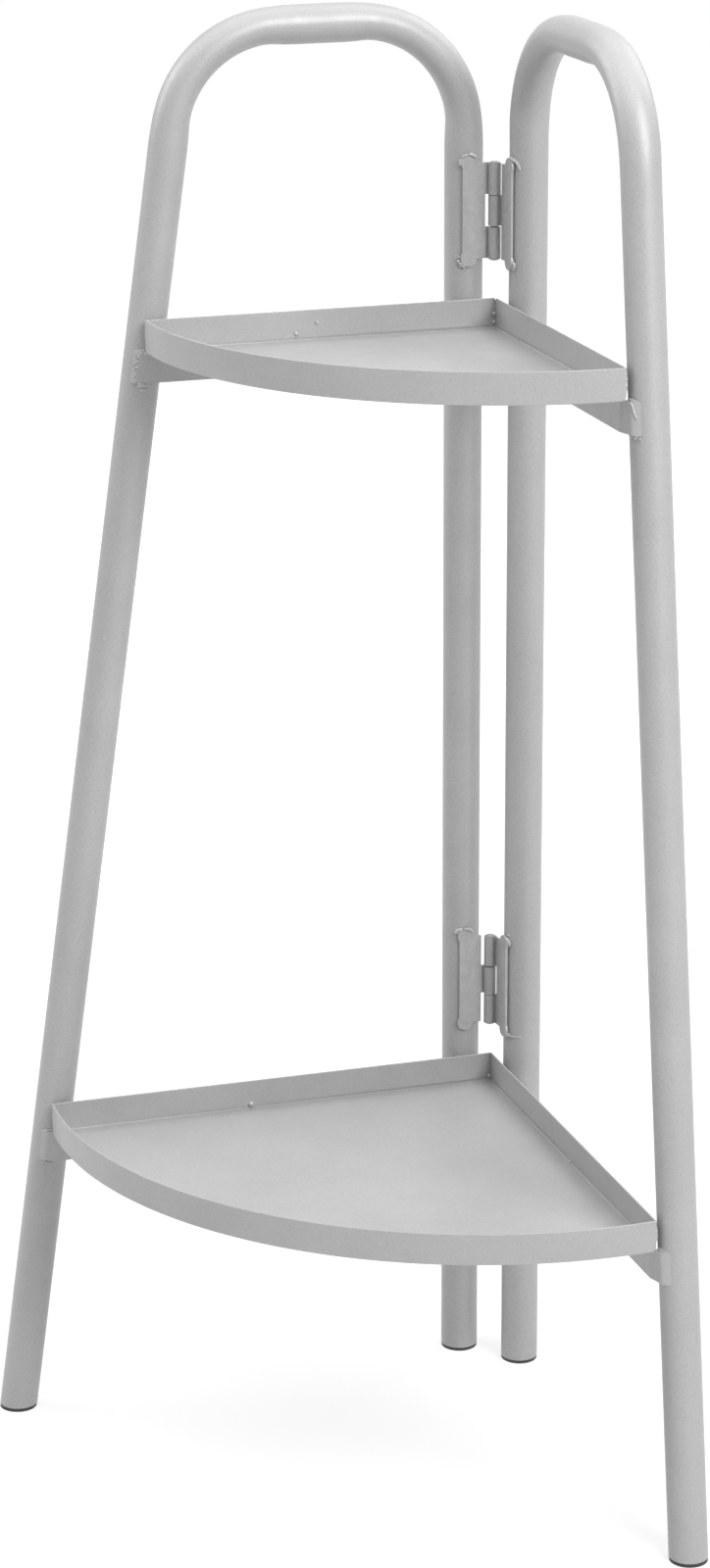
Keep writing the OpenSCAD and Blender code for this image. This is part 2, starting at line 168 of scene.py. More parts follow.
class NodeGraph:
    """A node tree that is filled by code, for a material or for geometry."""

    def __init__(self, tree: bpy.types.NodeTree) -> None:
        """Keep the tree that gets the nodes."""
        self.tree = tree

    def feed(self, socket: Socket, value: Any) -> None:
        """Link a socket to an input, or set the input's own value.

        Args:
            socket: The input.
            value: An output socket to link, or a plain value, or None to leave it as it is.
        """
        if isinstance(value, Socket):
            self.tree.links.new(value, socket)
        elif value is not None:
            socket.default_value = value

    def add(self, kind: str, *values: Any, named: dict[str, Any] | None = None,
            **settings: Any) -> bpy.types.Node:
        """Add a node.

        Args:
            kind: The node's type.
            values: What goes into its open inputs, in order.
            named: What goes into inputs by name.
            settings: The node's options.

        Returns:
            The node.
        """
        node = self.tree.nodes.new(kind)
        for key, value in settings.items():
            setattr(node, key, value)
        open_inputs = [socket for socket in node.inputs if socket.enabled]
        for socket, value in zip(open_inputs, values):
            self.feed(socket, value)
        for key, value in (named or {}).items():
            self.feed(node.inputs[key], value)
        return node

    def value(self, kind: str, *values: Any, named: dict[str, Any] | None = None,
              **settings: Any) -> Socket:
        """Add a node and return its first open output; the arguments are those of add."""
        node = self.add(kind, *values, named=named, **settings)
        return next(socket for socket in node.outputs if socket.enabled)

    def math(self, operation: str, *values: Any) -> Socket:
        """Add a Math node and return its result."""
        return self.value("ShaderNodeMath", *values, operation=operation)

    def vector(self, operation: str, *values: Any) -> Socket:
        """Add a Vector Math node and return its result."""
        return self.value("ShaderNodeVectorMath", *values, operation=operation)

    def product(self, *factors: Any) -> Socket:
        """Multiply numbers, from the first to the last.

        Args:
            factors: The numbers.

        Returns:
            The product.
        """
        result = factors[0]
        for factor in factors[1:]:
            result = self.math("MULTIPLY", result, factor)
        return result

    def scaled(self, vector: Any, factor: Any) -> Socket:
        """Return the vector times the factor."""
        return self.value("ShaderNodeVectorMath", vector, named={"Scale": factor},
                          operation="SCALE")

    def height(self, vector: Any) -> Socket:
        """Return the vector's part upwards."""
        return self.add("ShaderNodeSeparateXYZ", vector).outputs["Z"]

    def place(self) -> Socket:
        """Return the object's own coordinates, for a material."""
        return self.add("ShaderNodeTexCoord").outputs["Object"]

    def noise(self, place: Any, size: float, detail: float = 2.0,
              roughness: float = 0.5) -> Socket:
        """Add a Noise Texture.

        Args:
            place: The coordinates.
            size: The size of its features in millimetres.
            detail: The number of finer layers.
            roughness: The share of each finer layer.

        Returns:
            Its factor.
        """
        return self.value("ShaderNodeTexNoise", place,
                          named={"Scale": 1 / (size * MM), "Detail": detail,
                                 "Roughness": roughness})

    def spread(self, value: Any, low: float, high: float,
               span: tuple[float, float] = MIDDLE_RANGE) -> Socket:
        """Map a span of the value, or its middle range, to low..high and hold it there."""
        return self.value("ShaderNodeMapRange", value, *span, low, high)

    def bump(self, height: Any, depth: float, normal: Any = None) -> Socket:
        """Add a Bump whose full height is a depth in millimetres, and return its normal."""
        return self.value("ShaderNodeBump", named={"Strength": 1.0, "Distance": depth * MM,
                                                   "Height": height, "Normal": normal})

    def greys(self, factor: Any, *tones: float) -> Socket:
        """Spread greys evenly over the factor's middle range.

        Args:
            factor: The factor.
            tones: Linear tones, from low to high.

        Returns:
            The colour.
        """
        node = self.add("ShaderNodeValToRGB", factor)
        stops = node.color_ramp.elements
        while len(stops) < len(tones):
            stops.new(0.5)
        for k, place in enumerate(spaced(*MIDDLE_RANGE, len(tones) - 1)):
            stops[k].position = place
            stops[k].color = (tones[k],) * 3 + (1,)
        return node.outputs["Color"]

    def matt(self, tone: float) -> Socket:
        """Return a matt grey shader."""
        return self.value("ShaderNodeBsdfDiffuse", (tone, tone, tone, 1))


class Finish:
    """A finish that is made of nodes."""

    def inputs(self, graph: NodeGraph, place: Socket) -> dict[str, Any]:
        """Return what goes into the shader's inputs, by name."""
        raise NotImplementedError

    def material(self, title: str) -> bpy.types.Material:
        """Build the finish.

        Args:
            title: The material's name.

        Returns:
            The material.
        """
        made = bpy.data.materials.new(title)
        made.use_nodes = True
        graph = NodeGraph(made.node_tree)
        shader = made.node_tree.nodes["Principled BSDF"]
        for name, value in self.inputs(graph, graph.place()).items():
            graph.feed(shader.inputs[name], value)
        return made


@dataclass(frozen=True)
class PowderCoat(Finish):
    """Satin grey powder coat: a cloudy pale grey with fine flakes over orange peel.

    Lengths are in millimetres, and the tone is linear.
    """

    tone: float = 0.46
    cloud: float = 0.04
    cloud_size: float = 60.0
    flake: float = 0.06
    flake_size: float = 1.1
    metallic: float = 0.12
    roughness: float = 0.43
    uneven: float = 0.05
    patch_size: float = 9.0
    peel_size: float = 1.3
    peel_height: float = 0.012
    wave_size: float = 45.0
    wave_height: float = 0.05

    def inputs(self, graph: NodeGraph, place: Socket) -> dict[str, Any]:
        """Make the coat's colour, gloss and relief.

        Args:
            graph: The material's nodes.
            place: The coordinates.

        Returns:
            What goes into the shader's inputs, by name.
        """
        swing = self.cloud + self.flake
        layers = ((graph.noise(place, self.cloud_size, 4, 0.6), self.cloud),
                  (graph.noise(place, self.flake_size, 1), self.flake))
        mottle = graph.math("ADD", *(
            graph.product(graph.math("SUBTRACT", noise, 0.5), share / swing)
            for noise, share in layers))
        patches = graph.noise(place, self.patch_size, 3)
        waves = graph.bump(graph.noise(place, self.wave_size, 1), self.wave_height)
        peel = graph.noise(place, self.peel_size, 2, 0.55)
        return {
            "Base Color": graph.greys(graph.math("ADD", mottle, 0.5), self.tone * (1 - swing),
                                      self.tone, self.tone * (1 + swing)),
            "Roughness": graph.spread(patches, self.roughness - self.uneven,
                                      self.roughness + self.uneven),
            "Metallic": self.metallic,
            "Normal": graph.bump(peel, self.peel_height, waves),
        }


@dataclass(frozen=True)
class MouldedPlastic(Finish):
    """Matt black moulded plastic with a fine grain and a little dust."""

    tone: float = 0.035
    worn_tone: float = 0.042
    dust_tone: float = 0.05
    dust_size: float = 4.0
    roughness: tuple[float, float] = (0.47, 0.65)
    grain_size: float = 0.5
    grain_height: float = 0.01

    def inputs(self, graph: NodeGraph, place: Socket) -> dict[str, Any]:
        """Make the plastic's colour, gloss and grain.

        Args:
            graph: The material's nodes.
            place: The coordinates.

        Returns:
            What goes into the shader's inputs, by name.
        """
        dust = graph.noise(place, self.dust_size, 5, 0.65)
        grain = graph.noise(place, self.grain_size, 2)
        return {
            "Base Color": graph.greys(dust, self.tone, self.worn_tone, self.dust_tone),
            "Roughness": graph.spread(dust, *self.roughness),
            "Normal": graph.bump(grain, self.grain_height),
        }


FINISHES: dict[Surface, Finish] = {
    Surface.TUBE: PowderCoat(peel_size=2.2, peel_height=0.12),
    Surface.SHEET: PowderCoat(peel_size=1.8, peel_height=0.06, wave_size=90, wave_height=0.25),
    Surface.BAR: PowderCoat(wave_height=0.08),
    Surface.HINGE: PowderCoat(cloud=0.08, cloud_size=7, peel_size=2.0, peel_height=0.03,
                              wave_size=8),
    # The weld finish is the coat painted lighter, a painted highlight that makes the beads look
    # lit; its lower roughness and higher metallic are real gloss.
    Surface.WELD: PowderCoat(tone=0.5, metallic=0.16, roughness=0.3, cloud=0.1, cloud_size=3,
                             peel_size=1.0, peel_height=0.04, wave_size=2.5, wave_height=0.12),
    Surface.SEAM: PowderCoat(cloud=0.08, cloud_size=3, peel_size=1.2, peel_height=0.05,
                             wave_size=2.5, wave_height=0.1),
    Surface.PIN: PowderCoat(tone=0.42, cloud=0.08, cloud_size=2, peel_height=0.03),
    Surface.PLUG: MouldedPlastic(),
}


def link_object(name: str, data: bpy.types.ID) -> bpy.types.Object:
    """Put a mesh, lamp or camera in the scene as an object at the origin.

    Args:
        name: The object's name.
        data: The mesh, lamp or camera.

    Returns:
        The object.
    """
    data.name = name
    made = bpy.data.objects.new(name, data)
    bpy.context.scene.collection.objects.link(made)
    return made


def mesh_of(build: bmesh.types.BMesh, turn_out: bool = True) -> bpy.types.Mesh:
    """Turn a bmesh into a mesh.

    Args:
        build: The bmesh, which is freed.
        turn_out: Whether its faces are first turned outwards.

    Returns:
        The mesh.
    """
    if turn_out:
        bmesh.ops.recalc_face_normals(build, faces=build.faces)
    mesh = bpy.data.meshes.new("mesh")
    build.to_mesh(mesh)
    build.free()
    return mesh


def bake(piece: bpy.types.Object) -> None:
    """Turn a piece's modifiers into plain mesh and take them off.

    Args:
        piece: The piece.
    """
    bpy.context.view_layer.update()
    graph = bpy.context.evaluated_depsgraph_get()
    mesh = bpy.data.meshes.new_from_object(piece.evaluated_get(graph),
                                           preserve_all_data_layers=True, depsgraph=graph)
    piece.modifiers.clear()
    piece.data = mesh


def even_normals(piece: bpy.types.Object, weight: int, keep_sharp: bool) -> None:
    """Shade a piece smooth and let its large faces look flat.

    Args:
        piece: The piece.
        weight: How much the large faces count.
        keep_sharp: Whether sharp edges stay sharp.
    """
    piece.data.shade_smooth()
    weights = piece.modifiers.new("even_normals", "WEIGHTED_NORMAL")
    weights.keep_sharp = keep_sharp
    weights.weight = weight
    bake(piece)


def ease_edges(piece: bpy.types.Object, width: float, steps: int, angle: float) -> None:
    """Round a piece's sharp edges and shade it smooth.

    Args:
        piece: The piece.
        width: The rounding's width in millimetres.
        steps: The number of facets across it.
        angle: The least angle of an edge that is rounded, in degrees.
    """
    rounding = piece.modifiers.new("rounding", "BEVEL")
    rounding.width = width * MM
    rounding.segments = steps
    rounding.limit_method = "ANGLE"
    rounding.angle_limit = math.radians(angle)
    piece.data.shade_smooth()
    bake(piece)
    even_normals(piece, 80, True)


def loft(rings: list[list[Vector]]) -> bpy.types.Mesh:
    """Skin rings of points in order and close both ends.

    Args:
        rings: Closed rings with equally many points.

    Returns:
        The mesh.
    """
    build = bmesh.new()
    rows = [[build.verts.new(point) for point in ring] for ring in rings]
    for near, far in pairwise(rows):
        for k, corner in enumerate(near):
            after = (k + 1) % len(near)
            build.faces.new((corner, near[after], far[after], far[k]))
    build.faces.new(rows[0])
    build.faces.new(rows[-1])
    return mesh_of(build)


def node_mesh(node: str) -> bpy.types.Mesh:
    """Copy a CAD node's mesh with its triangles joined into whole faces.

    Args:
        node: The CAD node.

    Returns:
        The copy.
    """
    build = bmesh.new()
    build.from_mesh(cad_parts[node].data)
    bmesh.ops.remove_doubles(build, verts=build.verts, dist=0.002 * MM)
    bmesh.ops.dissolve_limit(build, angle_limit=math.radians(1), verts=build.verts,
                             edges=build.edges)
    return mesh_of(build)


def hand_over(piece: bpy.types.Object, body: str, surface: Surface, *nodes: str) -> None:
    """Let a finished piece ride on its body in the place of CAD nodes.

    Args:
        piece: The piece.
        body: The CAD body that carries it.
        surface: The kind of surface that it has; it is not used.
        nodes: The CAD nodes that it stands for.
    """
    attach(piece, body)
    if nodes:
        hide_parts(*nodes)
    surface.slot
    log.info("%s: %d faces, on %s", piece.name, len(piece.data.polygons), body)


class Rig:
    """A Geometry Nodes tree with named inputs, and the way to use it."""

    def __init__(self, name: str, **kinds: str) -> None:
        """Start a tree.

        Args:
            name: The tree's name.
            kinds: The kind of each named input, Float, Int or Vector.
        """
        self.tree = bpy.data.node_groups.new(name, "GeometryNodeTree")
        self.graph = NodeGraph(self.tree)
        sockets = self.tree.interface
        sockets.new_socket("Geometry", in_out="OUTPUT", socket_type="NodeSocketGeometry")
        self.identifiers: dict[str, str] = {}
        for title, kind in {"Geometry": "Geometry", **kinds, "Material": "Material"}.items():
            socket = sockets.new_socket(title, in_out="INPUT", socket_type=f"NodeSocket{kind}")
            self.identifiers[title] = socket.identifier
        self.source = self.tree.nodes.new("NodeGroupInput").outputs

    def stored(self, name: str, kind: str = "FLOAT") -> Socket:
        """Return the value of an attribute that the input mesh or the tree carries."""
        return self.graph.value("GeometryNodeInputNamedAttribute", name, data_type=kind)

    def store(self, geometry: Socket, name: str, value: Socket) -> Socket:
        """Keep a vector on the points of the geometry, and return the geometry with it."""
        return self.graph.value("GeometryNodeStoreNamedAttribute", geometry, None, name, value,
                                data_type="FLOAT_VECTOR", domain="POINT")

    def end(self, geometry: Socket, offset: Socket) -> None:
        """Close the tree: moved points, plain mesh, shaded smooth, with its material.

        Args:
            geometry: The geometry.
            offset: How far each of its points is moved.
        """
        moved = self.graph.value("GeometryNodeSetPosition", geometry, None, None, offset)
        smooth = self.graph.value("GeometryNodeSetShadeSmooth", moved)
        plain = self.graph.value("GeometryNodeRealizeInstances", smooth)
        dressed = self.graph.value("GeometryNodeSetMaterial", plain, None,
                                   self.source["Material"])
        self.graph.add("NodeGroupOutput", dressed)

    def run(self, piece: bpy.types.Object, **values: Any) -> None:
        """Turn a piece into what the tree makes of it.

        Args:
            piece: The piece, whose mesh is the tree's input.
            values: The named inputs.
        """
        maker = piece.modifiers.new(self.tree.name, "NODES")
        maker.node_group = self.tree
        for title, value in values.items():
            maker[self.identifiers[title]] = value
        bake(piece)
        layers = piece.data.attributes
        for title in ("centre", "heading", "bend", "level", "size", "facing"):
            if title in layers:
                layers.remove(layers[title])


def path_object(name: str, runs: list[list[Vector]],
                facts: dict[str, list[Any]]) -> bpy.types.Object:
    """Make an object of loose edges that a tree can follow.

    Args:
        name: The object's name.
        runs: The runs of points, each joined in order.
        facts: Values for each point, over all runs in order; vectors or numbers.

    Returns:
        The object.
    """
    points: list[Vector] = []
    edges: list[tuple[int, int]] = []
    for run in runs:
        edges += pairwise(range(len(points), len(points) + len(run)))
        points += run
    mesh = bpy.data.meshes.new("path")
    mesh.from_pydata(points, edges, [])
    for title, values in facts.items():
        vector = isinstance(values[0], Vector)
        layer = mesh.attributes.new(title, "FLOAT_VECTOR" if vector else "FLOAT", "POINT")
        for item, value in zip(layer.data, values):
            setattr(item, "vector" if vector else "value", value)
    return link_object(name, mesh)


def tube_rig() -> Rig:
    """Build the tree that sweeps a tube along its path and flattens it in the bends.

    The path's points carry two shares: "bend", how far the tube is flattened there, and
    "level", how far its section is turned to lie level, as it does at the sloping foot.

    Returns:
        The tree.
    """
    rig = Rig("tube_sweep", Radius="Float", Sides="Int", Flatten="Float", Widen="Float",
              Plane="Vector")
    graph, source = rig.graph, rig.source
    curve = graph.value("GeometryNodeMeshToCurve", source["Geometry"])
    curve = rig.store(curve, "centre", graph.value("GeometryNodeInputPosition"))
    curve = rig.store(curve, "heading", graph.value("GeometryNodeInputTangent"))
    ring = graph.value("GeometryNodeCurvePrimitiveCircle", source["Sides"],
                       named={"Radius": source["Radius"]})
    skin = graph.value("GeometryNodeCurveToMesh", curve, ring)
    plane, bend = source["Plane"], rig.stored("bend")
    heading = rig.stored("heading", "FLOAT_VECTOR")
    out = graph.vector("SUBTRACT", graph.value("GeometryNodeInputPosition"),
                       rig.stored("centre", "FLOAT_VECTOR"))
    across = graph.vector("NORMALIZE", graph.vector("CROSS_PRODUCT", heading, plane))
    pinch = graph.product(graph.vector("DOT_PRODUCT", out, across), bend, source["Flatten"], -1)
    swell = graph.product(graph.vector("DOT_PRODUCT", out, plane), bend, source["Widen"])
    slide = graph.product(graph.math("DIVIDE", graph.height(out), graph.height(heading)),
                          rig.stored("level"), -1)
    bent = graph.vector("ADD", graph.scaled(across, pinch), graph.scaled(plane, swell))
    rig.end(skin, graph.vector("ADD", bent, graph.scaled(heading, slide)))
    return rig


def lumps(rig: Rig) -> Socket:
    """Make a weld's surface uneven.

    Args:
        rig: The tree, with the inputs Lump, the height, and Seed, what it is varied by.

    Returns:
        An offset along the surface's normal.
    """
    graph, source = rig.graph, rig.source
    place = graph.vector("ADD", graph.value("GeometryNodeInputPosition"), source["Seed"])
    swing = graph.math("SUBTRACT", graph.noise(place, LUMP_SIZE, 2), 0.5)
    return graph.scaled(graph.value("GeometryNodeInputNormal"),
                        graph.product(swing, source["Lump"]))


def bead_rig() -> Rig:
    """Build the tree that lays rippled weld beads along their paths.

    The path's points carry the bead's radius there, "size".

    Returns:
        The tree.
    """
    rig = Rig("weld_bead", Step="Float", Pitch="Float", Ripple="Float", Lump="Float",
              Seed="Float")
    graph, source = rig.graph, rig.source
    curve = graph.value("GeometryNodeMeshToCurve", source["Geometry"])
    curve = graph.value("GeometryNodeResampleCurve", curve, None, source["Step"], mode="LENGTH")
    along = graph.add("GeometryNodeSplineParameter").outputs
    swing = graph.math("SUBTRACT", graph.product(along["Factor"], 2), 1)
    fall = graph.math("POWER", graph.math("ABSOLUTE", swing), 3)
    taper = graph.math("SQRT", graph.math("SUBTRACT", 1 + BEAD_END ** 2, fall))
    turns = graph.math("DIVIDE", along["Length"], source["Pitch"])
    wave = graph.math("SINE", graph.product(turns, math.tau))
    ripple = graph.math("ADD", 1, graph.product(wave, source["Ripple"]))
    ring = graph.value("GeometryNodeCurvePrimitiveCircle", 16, named={"Radius": 1})
    skin = graph.value("GeometryNodeCurveToMesh", curve, ring,
                       graph.product(rig.stored("size"), taper, ripple), True)
    skin = graph.value("GeometryNodeMergeByDistance", skin, None, 0.01 * MM)
    rig.end(skin, lumps(rig))
    return rig


def spot_rig() -> Rig:
    """Build the tree that sets low round weld spots on a surface.

    The points carry the spot's radius, "size", and the way that it faces, "facing".

    Returns:
        The tree.
    """
    rig = Rig("weld_spot", Height="Float", Lump="Float", Seed="Float")
    graph, source = rig.graph, rig.source
    ball = graph.value("GeometryNodeMeshIcoSphere", 1, 3)
    turn = graph.value("FunctionNodeAlignRotationToVector", None, None,
                       rig.stored("facing", "FLOAT_VECTOR"), axis="Z")
    size = rig.stored("size")
    scale = graph.value("ShaderNodeCombineXYZ", size, size,
                        graph.product(size, source["Height"]))
    spots = graph.value("GeometryNodeInstanceOnPoints", source["Geometry"], None, ball, None,
                        None, turn, scale)
    rig.end(graph.value("GeometryNodeRealizeInstances", spots), lumps(rig))
    return rig


@dataclass
class BeadRun:
    """A weld bead: the points of its middle line in metres, and its radius in millimetres.

    Thinned is the share of the radius that is left at its end.
    """

    points: list[Vector]
    radius: float
    thinned: float = 1.0

    def sizes(self) -> list[float]:
        """Return the radius at each point, in metres."""
        last = len(self.points) - 1
        return [self.radius * MM * (1 + (self.thinned - 1) * k / last) for k in range(last + 1)]


@dataclass
class Spot:
    """A weld spot: its place in metres, the way it faces, and its radius in millimetres."""

    place: Vector
    facing: Vector
    radius: float


@dataclass
class Workshop:
    """The sizes, finishes and trees that every sub-assembly uses."""

    sizes: ShelfSizes = field(default_factory=ShelfSizes)
    tubes: Rig = field(default_factory=tube_rig)
    beads: Rig = field(default_factory=bead_rig)
    spots: Rig = field(default_factory=spot_rig)
    made: dict[Surface, bpy.types.Material] = field(default_factory=dict)
    ripple_pitch: float = 1.7
    bead_step: float = 0.35
    bead_lump: float = 0.9
    spot_height: float = 0.8
    spot_lump: float = 0.6

    def paint(self, surface: Surface) -> bpy.types.Material:
        """Mix a finish the first time that it is asked for.

        Args:
            surface: The kind of surface.

        Returns:
            Its material.
        """
        if surface not in self.made:
            self.made[surface] = FINISHES[surface].material(surface.title)
        return self.made[surface]

    def dress(self, mesh: bpy.types.Mesh, name: str, body: str, surface: Surface, node: str,
              width: float, steps: int = 3, angle: float = 50) -> None:
        """Make a piece of a mesh, with its finish and its edges eased, and hand it over.

        Args:
            mesh: The mesh.
            name: The piece's name.
            body: The CAD body that carries it.
            surface: The kind of surface that it has.
            node: The CAD node that it stands for.
            width: The width of its rounded edges in millimetres.
            steps: The number of facets across them.
            angle: The least angle of an edge that is rounded, in degrees.
        """
        piece = link_object(name, mesh)
        piece.data.materials.append(self.paint(surface))
        ease_edges(piece, width, steps, angle)
        hand_over(piece, body, surface, node)

    def weld(self, name: str, beads: list[BeadRun], spots: list[Spot], seed: float,
             surface: Surface = Surface.WELD, ripple: float = ROUGH) -> bpy.types.Object:
        """Make one piece of weld beads and spots.

        Args:
            name: The piece's name.
            beads: The beads.
            spots: The spots, which may be none.
            seed: What its lumps are varied by.
            surface: The finish.
            ripple: Height of the beads' ripples, as a share of their radius.

        Returns:
            The piece.
        """
        finish = self.paint(surface)
        piece = path_object(name, [bead.points for bead in beads],
                            {"size": [size for bead in beads for size in bead.sizes()]})
        self.beads.run(piece, Step=self.bead_step * MM, Pitch=self.ripple_pitch * MM,
                       Ripple=ripple, Lump=self.bead_lump * MM, Seed=seed, Material=finish)
        if spots:
            extra = path_object(f"{name}_spots", [[spot.place] for spot in spots],
                                {"size": [spot.radius * MM for spot in spots],
                                 "facing": [spot.facing for spot in spots]})
            self.spots.run(extra, Height=self.spot_height, Lump=self.spot_lump * MM,
                           Seed=seed + SPOT_SEED, Material=finish)
            build = bmesh.new()
            build.from_mesh(piece.data)
            build.from_mesh(extra.data)
            piece.data = mesh_of(build, turn_out=False)
            piece.data.materials.append(finish)
            bpy.data.objects.remove(extra)
        piece.data.shade_smooth()
        return piece


@dataclass
class FrameTube:
    """One bent tube: up the back leg, over the top and down the sloping leg."""

    shop: Workshop
    side: Side
    wall: float = 1.2
    bend_radius: float = 70.0
    foot: float = 2.4
    flatten: float = 0.08
    widen: float = 0.03
    ease: float = 24.0
    sides: int = 64
    straight_steps: int = 24
    bend_lead: float = 16.0
    bend_steps: int = 130
    foot_steps: int = 8

    def segments(self) -> list[tuple[float, float]]:
        """Measure the tube's straights and bends.

        Returns:
            The length of each and the angle that it turns by, in radians.
        """
        sizes = self.shop.sizes
        lean = math.radians(sizes.lean)
        turn = math.radians(90 - sizes.lean)
        top = sizes.height - sizes.tube_r
        low = top - self.bend_radius
        run_end = sizes.leg_axis(top) - self.bend_radius * math.tan(turn / 2)
        slope = (low + self.bend_radius * math.sin(lean) - self.foot) / math.cos(lean)
        return [(low - self.foot, 0), (self.bend_radius * math.pi / 2, math.pi / 2),
                (run_end - self.bend_radius, 0), (self.bend_radius * turn, turn), (slope, 0)]

    def marks(self) -> list[float]:
        """Return the distances along the tube at which its straights and bends end."""
        return list(accumulate(length for length, _ in self.segments()))

    def station(self, distance: float) -> tuple[float, float]:
        """Find a point of the tube's axis.

        Args:
            distance: The distance along the tube from the back foot.

        Returns:
            Its distance along the frame and its height.
        """
        along, z, heading = 0.0, self.foot, 0.0
        for length, turn in self.segments():
            part = min(distance, length)
            after = heading + turn * part / length
            if turn:
                along += self.bend_radius * (math.cos(heading) - math.cos(after))
                z += self.bend_radius * (math.sin(after) - math.sin(heading))
            else:
                along += part * math.sin(heading)
                z += part * math.cos(heading)
            heading = after
            distance -= part
        return along, z

    def bend_share(self, distance: float) -> float:
        """Find how far the tube is flattened.

        Args:
            distance: The distance along the tube from the back foot.

        Returns:
            The share, from 0 to 1.
        """
        rise, first, level, second, _ = self.marks()
        return max(smooth_step((distance - start) / self.ease + 0.5)
                   * smooth_step((end - distance) / self.ease + 0.5)
                   for start, end in ((rise, first), (level, second)))

    def distances(self) -> list[float]:
        """Choose the tube's stations, closer in the bends and at the sloping foot.

        Returns:
            Distances along the tube, in order.
        """
        rise, _, _, second, total = self.marks()
        stops = (spaced(0, rise, self.straight_steps)
                 + spaced(rise - self.bend_lead, second + self.bend_lead, self.bend_steps)
                 + spaced(second, total, self.straight_steps)
                 + spaced(total - self.ease, total, self.foot_steps))
        return sorted({round(stop, 9) for stop in stops})

    def build(self) -> None:
        """Sweep the tube, give it its wall and hand it over."""
        place, total = self.shop.sizes.place, self.marks()[-1]
        stops = self.distances()
        points = [place(self.side, along, 0, z) for along, z in map(self.station, stops)]
        facts = {"bend": [self.bend_share(stop) for stop in stops],
                 "level": [smooth_step(1 - (total - stop) / self.ease) for stop in stops]}
        piece = path_object(f"{self.side.word}_bent_tube", [points], facts)
        self.shop.tubes.run(piece, Radius=self.shop.sizes.tube_r * MM, Sides=self.sides,
                            Flatten=self.flatten, Widen=self.widen,
                            Plane=list(self.shop.sizes.heading(self.side, 0, 1)),
                            Material=self.shop.paint(Surface.TUBE))
        self.face_out(piece)
        wall = piece.modifiers.new("wall", "SOLIDIFY")
        wall.thickness = self.wall * MM
        wall.offset = -1
        bake(piece)
        ease_edges(piece, 0.45, 3, 60)
        hand_over(piece, self.side.body, Surface.TUBE, f"{self.side.body}_tube")

    def face_out(self, piece: bpy.types.Object) -> None:
        """Turn the open tube's faces away from its axis, before it gets its wall.

        Args:
            piece: The tube.
        """
        build = bmesh.new()
        build.from_mesh(piece.data)
        bmesh.ops.recalc_face_normals(build, faces=build.faces)
        build.to_mesh(piece.data)
        build.free()
        sizes = self.shop.sizes
        lowest = min(piece.data.polygons, key=lambda face: face.center.z)
        outward = min(((lowest.center - sizes.place(self.side, along, 0, 0)).xy
                       for along in (0, sizes.foot_spread)), key=lambda way: way.length)
        if lowest.normal.xy.dot(outward) < 0:
            piece.data.flip_normals()


